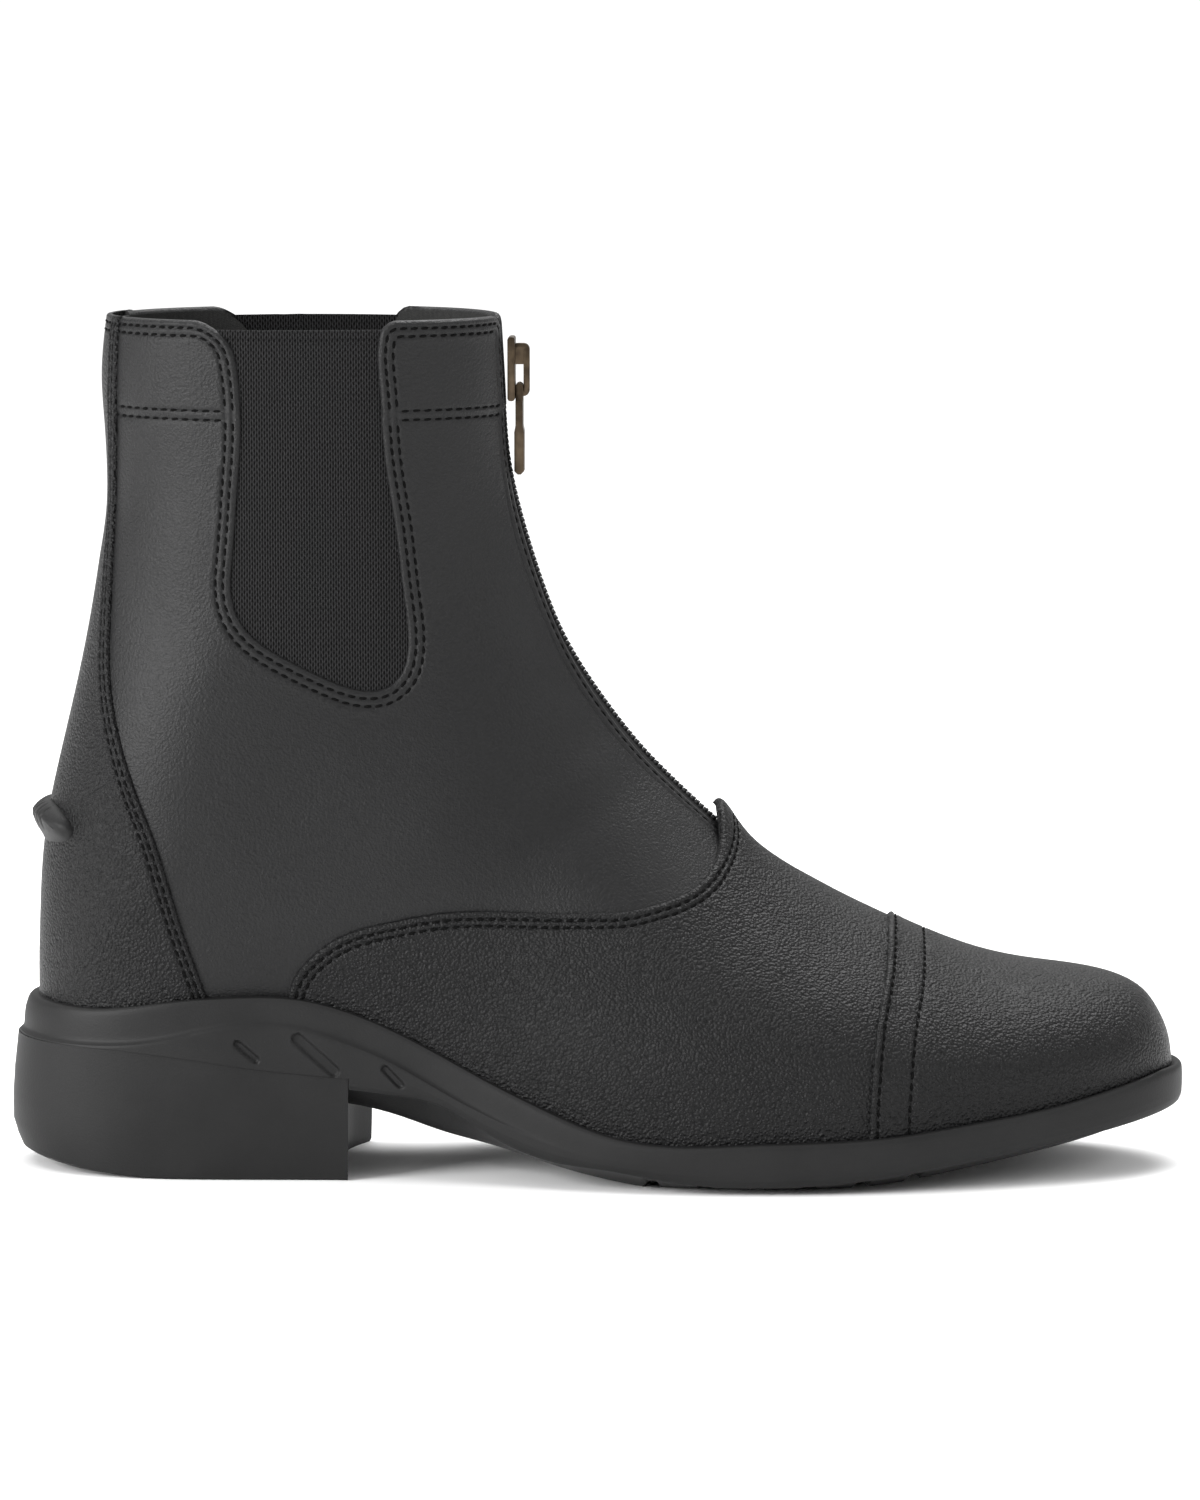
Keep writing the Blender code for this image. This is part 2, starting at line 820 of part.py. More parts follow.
def zip_outline(gap=0.0):
    """Side view of the slot for the zip: from the collar down to the vamp's point."""
    share = np.linspace(0.505, 1.0, 24)
    x, z = FRONT.at(share)
    depth = 4 * WALL
    line = np.column_stack([x, z])
    tangent = np.gradient(line, axis=0)
    tangent /= np.linalg.norm(tangent, axis=1)[:, None]
    normal = np.column_stack([tangent[:, 1], -tangent[:, 0]])
    outside = line + normal * depth
    inside = line - normal * depth
    bottom = tangent[0] * gap
    top = tangent[-1] * (HEIGHT * 0.05 if gap == 0 else -2 * CLEARANCE)
    outside[0] += bottom
    inside[0] += bottom
    outside[-1] += top
    inside[-1] += top
    return np.vstack([outside, inside[::-1]])


def make_upper():
    """Hollow upper, open at the collar and underneath, cut for the elastics and the zip."""
    upper = last_surface("upper")
    point_outward(upper)
    thicken(upper, WALL, outward=False)
    keep(upper, LEATHER)
    back, front = place_x(-0.1), place_x(1.1)
    below = np.vstack([edge_line(front, back), [(back, -CUP_HEIGHT), (front, -CUP_HEIGHT)]])
    boolean(upper, side_prism("below_edge", below), "DIFFERENCE")
    boolean(upper, side_prism("gore_opening", gore_outline()), "DIFFERENCE")
    slot = flat_solid("zip_slot", [zip_outline()], -ZIP_SLOT / 2, ZIP_SLOT / 2)
    boolean(upper, as_cutter(slot), "DIFFERENCE")
    return upper


def above_edge(points):
    """The points of a seam that lie above the sole's top edge."""
    along = (points[:, 0] - BASE_BACK) / BASE_LENGTH
    return points[points[:, 1] > EDGE_HEIGHT(along) + 3 * CLEARANCE]


def edge_line(start, end):
    """Side view of the sole's top edge between two places, a clearance above it."""
    nodes = place_x((1 - np.cos(np.linspace(0, math.pi, RING_STEPS + 1))) / 2)
    low, high = min(start, end), max(start, end)
    between = nodes[(nodes > low + CLEARANCE) & (nodes < high - CLEARANCE)]
    x = np.concatenate([[low], between, [high]])
    heights = np.interp(x, nodes, EDGE_HEIGHT((nodes - BASE_BACK) / BASE_LENGTH))
    line = np.column_stack([x, heights + CLEARANCE])
    return line if start < end else line[::-1]


def overlay(name, thickness, shape, first, last, gap=CLEARANCE, look=LEATHER):
    """Layer on the upper, cut to an outline seen from the side."""
    layer = last_surface(name, first, last)
    point_outward(layer)
    push_out(layer, gap)
    thicken(layer, thickness, outward=True)
    keep(layer, look)
    boolean(layer, side_prism(f"{name}_shape", shape), "INTERSECT")
    return layer


def make_vamp():
    """Vamp with wings that run back along the sole, and a point over the zip's foot."""
    edge = seam_points(VAMP_EDGE)
    cap = seam_points(CAP_EDGE, 1)
    cap = above_edge(cap - [CLEARANCE, 0])
    edge = above_edge(edge)
    shape = np.vstack([edge, cap, edge_line(cap[-1, 0], edge[0, 0])])
    return overlay("vamp", OVERLAY, shape, 0.20, 0.82)


def make_toe_cap():
    """Toe cap, thicker than the vamp that it meets."""
    cap = above_edge(seam_points(CAP_EDGE, 1))
    front = place_x(1.08)
    shape = np.vstack([cap, edge_line(cap[-1, 0], front), [(front, cap[0, 1])]])
    return overlay("toe_cap", CAP_OVERLAY, shape, 0.0, 0.40)


def make_counter():
    """Back stay and counter in one piece."""
    edge = above_edge(seam_points(COUNTER_EDGE))
    back = place_x(-0.12)
    shape = np.vstack([edge, edge_line(edge[-1, 0], back), [(back, edge[0, 1])]])
    return overlay("counter", OVERLAY, shape, 0.76, 2.0)


def make_spur_rest():
    """Small ledge across the back of the counter that stops a spur's strap."""
    shape = smooth_points(place_x(SPUR_REST_SHAPE["along"]), SPUR_REST_SHAPE["up"] * HEIGHT, 2)
    gap = CLEARANCE + OVERLAY + CLEARANCE
    return overlay("spur_rest", SPUR_REST, shape, 0.9, 1.5, gap, RUBBER)


def make_gores():
    """Elastic panels, set into the upper's openings, one on each side."""
    outline = gore_outline(CLEARANCE)
    top = GORE_TOP * HEIGHT
    below = outline[outline[:, 1] < top - CLEARANCE]
    left, right = below[0, 0], below[-1, 0]
    outline = np.vstack([[(left, top)], below, [(right, top)]])
    for name, low, high in (("gore_outer", -BALL_WIDTH, 0.0), ("gore_inner", 0.0, BALL_WIDTH)):
        gore = last_surface(name, 0.70, 2.0)
        point_outward(gore)
        push_out(gore, -(WALL - ELASTIC) / 2)
        thicken(gore, ELASTIC, outward=False)
        keep(gore, ELASTIC_CLOTH)
        shape = as_cutter(flat_solid(f"{name}_shape", [outline], low, high))
        boolean(gore, shape, "INTERSECT")


def make_zip_tape():
    """Zip's tape and closed chain, in the slot down the front."""
    tape = last_surface("zip_tape", 0.36, 2.0)
    point_outward(tape)
    thicken(tape, ZIP_TAPE, outward=False)
    keep(tape, ELASTIC_CLOTH)
    half = ZIP_SLOT / 2 - CLEARANCE
    shape = flat_solid("zip_tape_shape", [zip_outline(CLEARANCE)], -half, half)
    boolean(tape, as_cutter(shape), "INTERSECT")
    return tape


def slider_frame():
    """Slider's place: the back of its plate, clear of the zip, and its middle height."""
    middle = float(FRONT.at(SLIDER_PLACE)[1])
    covered = np.abs(FRONT.z - middle) <= SLIDER_HEIGHT / 2
    return float(FRONT.x[covered].max()) + CLEARANCE, middle


def round_box(left, right, low, high, radius, steps=4):
    """Rectangle with round corners, anticlockwise."""
    points = []
    corners = (
        (right - radius, high - radius, 0),
        (left + radius, high - radius, 90),
        (left + radius, low + radius, 180),
        (right - radius, low + radius, 270),
    )
    for x, z, start in corners:
        for i in range(steps + 1):
            angle = math.radians(start + 90 * i / steps)
            points.append((x + radius * math.cos(angle), z + radius * math.sin(angle)))
    return points


def make_slider():
    """Zip slider: a plate over the chain with a bridge that holds the pull."""
    plate_x, middle = slider_frame()
    low = middle - SLIDER_HEIGHT / 2
    high = middle + SLIDER_HEIGHT / 2
    face = plate_x + SLIDER_PLATE
    half = SLIDER_WIDTH / 2
    plate = flat_solid("zip_slider", [round_box(plate_x, face, low, high, SLIDER_PLATE * 0.35, 2)], -half, half)
    outer = face + BRIDGE_WINDOW + BRIDGE_BAR
    root = plate_x + SLIDER_PLATE / 2
    bridge_low = low + BRIDGE_BAR * 0.7
    bridge_high = high - BRIDGE_BAR * 1.1
    window = round_box(face, face + BRIDGE_WINDOW, bridge_low + BRIDGE_BAR, bridge_high - BRIDGE_BAR, 0.0005, 3)
    loop = round_box(root, outer, bridge_low, bridge_high, BRIDGE_BAR * 0.98)
    bridge = flat_solid("slider_bridge", [loop, window], -BRIDGE_WIDTH / 2, BRIDGE_WIDTH / 2)
    keep(plate, BRONZE)
    boolean(plate, as_cutter(bridge), "UNION")
    return plate


def pull_axis():
    """Middle of the pull's pin, in the lower end of the bridge's window."""
    plate_x, middle = slider_frame()
    low = middle - SLIDER_HEIGHT / 2
    x = plate_x + SLIDER_PLATE + BRIDGE_WINDOW / 2
    z = low + BRIDGE_BAR * 1.7 + CLEARANCE + PIN_DIAMETER / 2
    return x, z


def make_pull():
    """Pull tab that hangs from a pin through the bridge: two legs, a neck and a thicker grip."""
    x, z = pull_axis()
    eye = 0.0009
    crotch = z - 0.0036
    bottom = z - PULL_LENGTH
    leg_depth = 0.0011
    leg_middle = BRIDGE_WIDTH / 2 + CLEARANCE + leg_depth / 2
    neck = PULL_NECK / 2
    grip = PULL_GRIP / 2
    shoulder = crotch - 0.0060
    body = [
        (x - neck, crotch),
        (x - neck, shoulder),
        (x - grip, shoulder - 0.0015),
        (x - grip, bottom + 0.0008),
        (x - grip + 0.0008, bottom),
        (x + grip - 0.0008, bottom),
        (x + grip, bottom + 0.0008),
        (x + grip, shoulder - 0.0015),
        (x + neck, shoulder),
        (x + neck, crotch),
    ]
    pull = flat_solid("zip_pull", [body], -PULL_WIDTH / 2, PULL_WIDTH / 2)
    leg = [(x - eye, z), (x - eye, crotch - 0.0006), (x + eye, crotch - 0.0006), (x + eye, z)]
    leg += [(x + eye * math.cos(a), z + eye * math.sin(a)) for a in np.linspace(0.4, math.pi - 0.4, 5)]
    keep(pull, BRONZE)
    for side in (-1, 1):
        low = side * leg_middle - leg_depth / 2
        strap = flat_solid(f"pull_leg_{side + 1}", [leg], low, low + leg_depth)
        boolean(pull, as_cutter(strap), "UNION")
    bpy.ops.mesh.primitive_cylinder_add(
        vertices=12, radius=PIN_DIAMETER / 2, depth=2 * leg_middle, location=(x, 0, z), rotation=(math.pi / 2, 0, 0)
    )
    pin = bpy.context.object
    pin.name = "pull_pin"
    boolean(pull, as_cutter(pin), "UNION")
    return pull


for old in list(bpy.data.objects):
    bpy.data.objects.remove(old)

PARTS = collection("paddock_boot")
CUTTERS = collection("cutters")

make_sole()
make_heel()
make_insole()
make_upper()
make_vamp()
make_toe_cap()
make_counter()
make_spur_rest()
make_gores()
make_zip_tape()
make_slider()
make_pull()
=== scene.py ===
"""Right paddock boot in black leather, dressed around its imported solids.

Metres, +X from the heel to the toe, +Y to the inner side of the foot, +Z up. The origin is on the
floor under the heel. Tables give thousandths, and profiles of seams give millimetres.
"""

from __future__ import annotations

import logging
import math
from dataclasses import dataclass, field
from enum import Enum
from typing import Any, Callable, Iterator

import bmesh
import bpy
import numpy as np
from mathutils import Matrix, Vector
from mathutils.bvhtree import BVHTree

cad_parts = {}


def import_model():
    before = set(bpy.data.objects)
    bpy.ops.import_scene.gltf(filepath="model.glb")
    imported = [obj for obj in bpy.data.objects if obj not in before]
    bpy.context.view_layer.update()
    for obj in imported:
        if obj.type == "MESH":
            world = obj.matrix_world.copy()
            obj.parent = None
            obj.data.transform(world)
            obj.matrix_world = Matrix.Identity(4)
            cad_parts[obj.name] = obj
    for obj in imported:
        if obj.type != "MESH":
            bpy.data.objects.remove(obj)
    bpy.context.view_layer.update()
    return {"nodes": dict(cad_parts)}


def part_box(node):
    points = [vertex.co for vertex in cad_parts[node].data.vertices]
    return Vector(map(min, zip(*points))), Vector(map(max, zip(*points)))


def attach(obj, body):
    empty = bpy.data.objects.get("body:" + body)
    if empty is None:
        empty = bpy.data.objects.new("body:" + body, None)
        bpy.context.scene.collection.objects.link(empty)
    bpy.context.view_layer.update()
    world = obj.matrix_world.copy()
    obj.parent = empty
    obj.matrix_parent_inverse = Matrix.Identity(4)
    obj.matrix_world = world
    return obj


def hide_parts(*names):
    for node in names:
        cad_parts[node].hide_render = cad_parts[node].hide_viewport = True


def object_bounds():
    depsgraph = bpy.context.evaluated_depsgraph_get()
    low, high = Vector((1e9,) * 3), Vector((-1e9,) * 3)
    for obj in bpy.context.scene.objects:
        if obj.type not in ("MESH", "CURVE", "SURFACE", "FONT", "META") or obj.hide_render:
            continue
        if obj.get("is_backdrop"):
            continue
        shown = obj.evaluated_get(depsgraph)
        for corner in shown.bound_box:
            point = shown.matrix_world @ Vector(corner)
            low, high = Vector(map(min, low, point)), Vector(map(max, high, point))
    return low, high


LOG = logging.getLogger("paddock_boot")
MM = 0.001
FAR = 0.06
ZIP_SLOT = 0.0092

Table = dict[str, np.ndarray]
Face = tuple[int, ...]
Colour = tuple[float, float, float]
Piece = bpy.types.Object


def table(columns: str, *thousandths: float) -> Table:
    """Columns of numbers by name, from rows laid end to end."""
    names = columns.split()
    return dict(zip(names, np.array(thousandths, dtype=float).reshape(-1, len(names)).T / 1000))


OUTLINE = table(
    "along outer inner middle",
    0, 0, 0, 0, 45, 235, 235, 0, 125, 303, 297, 0, 250, 301, 262, 0, 380, 336, 262, 0, 505, 433, 351, 0,
    650, 485, 431, 12, 780, 452, 418, 29, 885, 354, 332, 48, 965, 208, 195, 56, 1000, 0, 0, 58,
)
FEATHER = table(
    "along up",
    0, 929, 60, 922, 130, 978, 185, 1000, 235, 991, 290, 902, 345, 752, 400, 580, 455, 429, 510, 304,
    560, 259, 640, 272, 740, 295, 830, 359, 910, 426, 1000, 527,
)
FRONT_LINE = table(
    "along up",
    1000, 0, 999, 18, 996, 43, 989, 67, 978, 90, 961, 106, 941, 116, 907, 126, 871, 135, 836, 148, 800,
    167, 762, 191, 724, 218, 675, 257, 635, 295, 602, 333, 567, 381, 539, 423, 517, 463, 498, 503, 481,
    543, 467, 582, 446, 662, 430, 741, 419, 822, 416, 881, 411, 1000,
)
BACK_LINE = table(
    "along up",
    0, 0, 0, 50, 1, 110, 3, 182, 8, 256, 18, 336, 37, 468, 48, 557, 57, 645, 63, 711, 64, 777, 62, 845,
    60, 910, 65, 1000,
)
FAN = table(
    "front base outer inner widest pinch",
    0, 0, 520, 420, 280, 0, 67, 85, 520, 420, 280, 50, 180, 191, 520, 420, 260, 150, 341, 322, 520, 420,
    250, 300, 488, 459, 520, 420, 250, 340, 617, 601, 520, 420, 260, 220, 714, 762, 490, 460, 290, 20,
    771, 913, 490, 480, 310, -100, 813, 1000, 490, 490, 320, -140, 855, 1180, 490, 490, 360, -160, 910,
    1500, 480, 480, 430, -160, 1000, 2000, 500, 500, 500, -120,
)
GORE = table(
    "along up",
    172, 1060, 172, 1010, 178, 985, 186, 933, 188, 887, 184, 795, 180, 725, 179, 685, 186, 655, 201,
    632, 231, 607, 266, 584, 296, 572, 314, 575, 327, 590, 333, 616, 330, 680, 323, 761, 314, 842, 310,
    922, 309, 975, 314, 1005, 317, 1060,
)
VAMP_EDGE = table(
    "along up",
    222, 180, 226, 210, 235, 243, 249, 264, 268, 283, 291, 296, 315, 304, 367, 316, 409, 318, 456, 317,
    500, 317, 526, 318, 549, 324, 569, 331, 589, 345, 601, 364, 604, 387, 598, 409, 589, 440, 585, 470,
)
COUNTER_EDGE = table(
    "along up",
    78, 1020, 74, 889, 71, 766, 68, 649, 69, 579, 79, 512, 95, 449, 112, 392, 127, 327, 141, 268, 155,
    215, 164, 170,
)
CAP_EDGE = table(
    "along up",
    757, 400, 753, 298, 752, 242, 746, 200, 741, 140, 739, 98, 739, 20,
)
SPUR_EDGE = table(
    "along up",
    -40, 392, 0, 424, 16, 429, 29, 419, 37, 405, 36, 393, 25, 384, 0, 380, -40, 376,
)
UNDERSIDE = table(
    "along edge tread",
    0, 560, 480, 150, 540, 430, 285, 495, 385, 325, 470, 325, 360, 430, 255, 411, 268, 180, 464, 150,
    90, 510, 118, 30, 545, 85, 0, 580, 55, 0, 640, 40, 0, 705, 55, 0, 745, 80, 12, 785, 115, 45, 850,
    180, 110, 923, 252, 186, 1000, 345, 275,
)
BAND_LINE = table(
    "along up",
    0, 740, 108, 765, 150, 825, 200, 866, 235, 848, 273, 782, 312, 688, 345, 585, 380, 470, 430, 335,
    500, 200, 560, 170, 640, 170, 740, 190, 830, 255, 910, 330, 1000, 440,
)
HEEL_TOP = table(
    "along up",
    -100, 730, 0, 722, 80, 712, 140, 672, 200, 612, 290, 560, 340, 540,
)
HEEL_BOTTOM = table(
    "along up",
    -100, 110, 0, 80, 50, 30, 100, 0, 200, 0, 400, 0,
)
HEEL_SIDE = table(
    "level out back",
    0, 200, 0, 8, 420, 30, 30, 600, 60, 120, 660, 110, 250, 720, 160, 480, 840, 140, 700, 950, 100,
    1100, 1150, 0,
)
BREAST = table(
    "across along",
    -700, 281, -320, 280, -170, 268, 0, 265, 170, 273, 320, 294, 700, 300,
)
# Side of the sole up to the raised line, and from there to its top
LOWER_SIDE = table(
    "level heel fore back",
    0, 700, 700, 1.2, 30, 980, 940, 1.4, 120, 1150, 1080, 1.6, 220, 1210, 1150, 1.8, 320, 1260, 1210,
    1.9, 500, 1320, 1270, 1.9, 900, 1320, 1300, 1.9, 960, 1290, 1300, 1.9,
)
UPPER_SIDE = table(
    "level heel fore back",
    0, 1160, 1300, 1.9, 50, 1040, 1300, 1.9, 110, 1000, 1300, 1.9, 200, 980, 1300, 1.9, 400, 970, 1300,
    1.8, 600, 960, 1290, 1.6, 800, 950, 1260, 1.1, 900, 920, 1180, 0.8, 970, 840, 1050, 0.5, 1000, 720,
    880, 0.2,
)
# Moulded marks on the sole's side, in the side view: both ends and half the width
SIDE_MARKS = table(
    "top_x top_z low_x low_z half",
    15.8, 33.8, 20.2, 30.1, 0.8, 30.4, 35.1, 39.1, 27.3, 1.3, 51.7, 27.9, 55.3, 24.2, 0.8,
)
# Soft folds of the leather in the side view: both ends, half the width and the depth
FOLDS = table(
    "x0 z0 x1 z1 half depth",
    102, 108, 76, 93, 6, 0.55, 113, 96, 84, 80, 5.5, 0.5, 93, 123, 70, 112, 6.5, 0.4, 40, 102, 16, 85,
    10, 0.5, 56, 90, 30, 72, 9, 0.4, 106, 102, 80, 86.5, 4.5, -0.35, 150, 73, 129, 48, 8, 0.22, 162, 64,
    144, 40, 7.5, 0.2, 156, 69, 137, 44, 6, -0.14, -10, 150, 2, 125, 10, 0.4,
)


class Spline:
    """Natural cubic curve through knots."""

    def __init__(self, places: np.ndarray, values: np.ndarray) -> None:
        """Solves the curve.

        Args:
            places: Where each knot is, in rising order.
            values: The curve's value at each knot.
        """
        self.places, self.values = places, values
        step = np.diff(places)
        system, right = np.eye(len(places)), np.zeros(len(places))
        right[1:-1] = 6 * np.diff(np.diff(values) / step)
        for i in range(1, len(places) - 1):
            system[i, i - 1 : i + 2] = step[i - 1], 2 * (step[i - 1] + step[i]), step[i]
        self.bend = np.linalg.solve(system, right)

    def __call__(self, place: Any) -> Any:
        """Reads the curve, held at its end values.

        Args:
            place: One place or an array of them.

        Returns:
            The value at each place.
        """
        place = np.clip(place, self.places[0], self.places[-1])
        i = np.clip(np.searchsorted(self.places, place) - 1, 0, len(self.places) - 2)
        step = self.places[i + 1] - self.places[i]
        left = (self.places[i + 1] - place) / step
        right = 1 - left
        cubic = (left**3 - left) * self.bend[i] + (right**3 - right) * self.bend[i + 1]
        return left * self.values[i] + right * self.values[i + 1] + cubic * step**2 / 6


def path_length(points: np.ndarray) -> np.ndarray:
    """Length of a path up to each of its points."""
    return np.concatenate([[0.0], np.cumsum(np.linalg.norm(np.diff(points, axis=0), axis=1))])


def resample(points: np.ndarray, reach: np.ndarray, wanted: np.ndarray) -> np.ndarray:
    """Points of a path at wanted lengths, where reach is the length up to each of its points."""
    return np.column_stack([np.interp(wanted, reach, column) for column in points.T])


def smooth_line(x: np.ndarray, z: np.ndarray, steps: Callable[[np.ndarray], np.ndarray]) -> np.ndarray:
    """Points of a smooth line through others, at steps worked out from the length up to each."""
    reach = path_length(np.column_stack([x, z]))
    return np.column_stack([Spline(reach, values)(steps(reach)) for values in (x, z)])


def spans(count: int) -> Callable[[np.ndarray], np.ndarray]:
    """Steps for smooth_line.

    Args:
        count: How many steps each span between two points gets.

    Returns:
        The steps as a function of the length up to each point.
    """
    return lambda reach: np.interp(
        np.linspace(0, len(reach) - 1, count * (len(reach) - 1) + 1), range(len(reach)), reach
    )


def unit(vectors: np.ndarray) -> np.ndarray:
    """Vectors turned to length 1."""
    return vectors / np.maximum(np.linalg.norm(vectors, axis=1), 1e-15)[:, None]


def smooth_step(low: float, high: float, value: Any) -> Any:
    """Turns smoothly from 0 at low to 1 at high."""
    share = np.clip((value - low) / (high - low), 0, 1)
    return share * share * (3 - 2 * share)


def turn(along: Any) -> Any:
    """Angle whose even steps crowd points at both ends of the foot."""
    return np.arccos(1 - 2 * np.clip(along, 0, 1))


def distance_to(points: np.ndarray, line: np.ndarray, joined: Any) -> np.ndarray:
    """Distance of points from a broken line.

    Args:
        points: Points to measure from.
        line: Corners of the line.
        joined: For each corner but the last, whether the line goes on to the next.

    Returns:
        One distance for each point.
    """
    best = np.full(len(points), np.inf)
    for start, step, real in zip(line, np.diff(line, axis=0), joined):
        if real:
            share = np.clip((points - start) @ step / max(float(step @ step), 1e-16), 0, 1)
            gap = points - start - share[:, None] * step
            best = np.minimum(best, np.einsum("ij,ij->i", gap, gap))
    return np.sqrt(best)


def inside(points: np.ndarray, corners: np.ndarray) -> np.ndarray:
    """Which points of a plane lie in a polygon.

    Args:
        points: The points.
        corners: The polygon's corners.

    Returns:
        True for each point that is inside.
    """
    found = np.zeros(len(points), dtype=bool)
    x, z = points.T
    for (ax, az), (bx, bz) in zip(corners, np.roll(corners, -1, axis=0)):
        if az != bz:
            found ^= ((az > z) != (bz > z)) & (x < (bx - ax) * (z - az) / (bz - az) + ax)
    return found


@dataclass
class Last:
    """The foot form that every layer of the boot follows."""

    length: float = 0.2855
    ball_width: float = 0.0970
    height: float = 0.2090
    shaft_width: float = 0.0650
    heel_reach: float = 0.0409
    cup_height: float = 0.0448
    heel_ledge: float = 0.0063
    toe_ledge: float = 0.0039
    foot_swell: float = 1.02
    shaft_from: float = 0.58
    shaft_full: float = 0.82
    dense: int = 1200

    def __post_init__(self) -> None:
        """Turns the tables into curves of this size."""
        self.base_back = self.heel_ledge - self.heel_reach
        self.base_length = self.length - self.heel_ledge - self.toe_ledge
        self.outer, self.inner = (
            Spline(turn(OUTLINE["along"]), OUTLINE[side] * self.ball_width) for side in ("outer", "inner")
        )
        self.middle = Spline(OUTLINE["along"], OUTLINE["middle"] * self.ball_width)
        self.edge_height = self.height_curve(FEATHER, "up")
        self.front, self.back = self.side_line(FRONT_LINE, 1.0), self.side_line(BACK_LINE, 0.0)
        self.base_angle = np.linspace(math.pi, 0, self.dense)
        along = (1 - np.cos(self.base_angle)) / 2
        reach = path_length(np.column_stack([self.place_x(along), self.outer(self.base_angle)]))
        self.base_share = reach / reach[-1]
        self.fan = {name: Spline(FAN["base"], column) for name, column in FAN.items()}

    def place_x(self, along: Any) -> Any:
        """X of a share of the upper's base length."""
        return self.base_back + along * self.base_length

    def share_x(self, x: Any) -> Any:
        """Share of the upper's base length at X."""
        return (x - self.base_back) / self.base_length

    def height_curve(self, rows: Table, column: str) -> Spline:
        """Curve of heights that a table gives as shares of the cup's height."""
        return Spline(rows["along"], rows[column] * self.cup_height)

    def side_line(self, rows: Table, end: float) -> np.ndarray:
        """Dense outline from the side.

        Args:
            rows: Its table.
            end: Where it starts on the upper's edge, 0 at the heel and 1 at the toe.

        Returns:
            Its points.
        """
        foot = float(self.edge_height(end))
        x, height = self.place_x(rows["along"]), foot + rows["up"] * (self.height - foot)
        return smooth_line(x, height, lambda reach: np.linspace(0, reach[-1], self.dense))

    def section(self, base: float, side: int, share: np.ndarray) -> np.ndarray:
        """Points of one section of the last.

        Args:
            base: 0 at the toe's tip, 1 at the heel's back and 2 at the back of the collar.
            side: -1 on the outer side and 1 on the inner side.
            share: 0 at the section's base and 1 on the front line.

        Returns:
            One point for each share.
        """
        fan = {name: float(curve(base)) for name, curve in self.fan.items()}
        front = self.on_line(self.front, fan["front"])
        if base <= 1:
            angle = float(np.interp(base, self.base_share, self.base_angle))
            along = (1 - math.cos(angle)) / 2
            start = np.array([self.place_x(along), float(self.edge_height(along))])
            ring = float((self.inner if side > 0 else self.outer)(angle))
        else:
            start, ring = self.on_line(self.back, base - 1), 0.0
        foot = ring * self.foot_swell
        shaft = fan["inner" if side > 0 else "outer"] * self.shaft_width
        wide = foot + (shaft - foot) * float(smooth_step(self.shaft_from, self.shaft_full, base))
        widest = fan["widest"]
        x, z = (start + (front - start) * share[:, None]).T
        below = np.clip(1 - share / widest, 0, 1)
        above = np.clip((share - widest) / (1 - widest), 0, 1)
        lower = np.sqrt(np.maximum(wide**2 - (wide**2 - ring**2) * below**2, 0))
        upper = wide * np.sqrt(np.maximum(1 - above**2, 0)) * (1 - fan["pinch"] * above**2)
        half = np.where(share >= 1, 0, np.where(share < widest, lower, upper))
        return np.column_stack([x, self.middle(self.share_x(x)) + side * half, z])

    @staticmethod
    def on_line(line: np.ndarray, share: float) -> np.ndarray:
        """Point at a share of a line's length."""
        reach = path_length(line)
        return resample(line, reach / reach[-1], np.array([share]))[0]

    def seam(self, rows: Table) -> np.ndarray:
        """Dense side view of a seam."""
        return smooth_line(self.place_x(rows["along"]), rows["up"] * self.height, spans(8))

    def ring(self, out: Any, angle: np.ndarray, back: float = 0.0) -> tuple[np.ndarray, np.ndarray]:
        """Plan points round the upper's bottom edge, outer side first.

        Args:
            out: Distance outward, as a number or a function of the share along the foot.
            angle: Steps from the heel (0) to the toe (pi).
            back: How far the heel's back moves on backward.

        Returns:
            The points, and the share along the foot of each.
        """
        along = (1 - np.cos(angle)) / 2
        halves = (-self.outer(angle), self.inner(angle))
        outer, inner = (np.column_stack([self.place_x(along), self.middle(along) + half]) for half in halves)
        ring = np.vstack([outer, inner[-2:0:-1]])
        tangent = unit(np.roll(ring, -1, axis=0) - np.roll(ring, 1, axis=0))
        share = np.concatenate([along, along[-2:0:-1]])
        away = out(share)[:, None] if callable(out) else out
        moved = ring + np.column_stack([tangent[:, 1], -tangent[:, 0]]) * away
        moved[:, 0] -= back * np.clip(1 - share / 0.12, 0, 1)
        return moved, share


def edges(face: Face) -> Iterator[tuple[int, int]]:
    """Each corner of a polygon with the next one."""
    return zip(face, face[1:] + face[:1])


def shade(mesh: bpy.types.Mesh, sharp: float) -> None:
    """Shades a mesh smooth, apart from edges above an angle in degrees."""
    mesh.shade_smooth()
    mesh.set_sharp_from_angle(angle=math.radians(sharp))


def link(name: str, data: bpy.types.ID) -> Piece:
    """Puts a new object into the scene.

    Args:
        name: Its name.
        data: Its mesh, lamp or camera.

    Returns:
        The object.
    """
    obj = bpy.data.objects.new(name, data)
    bpy.context.scene.collection.objects.link(obj)
    return obj


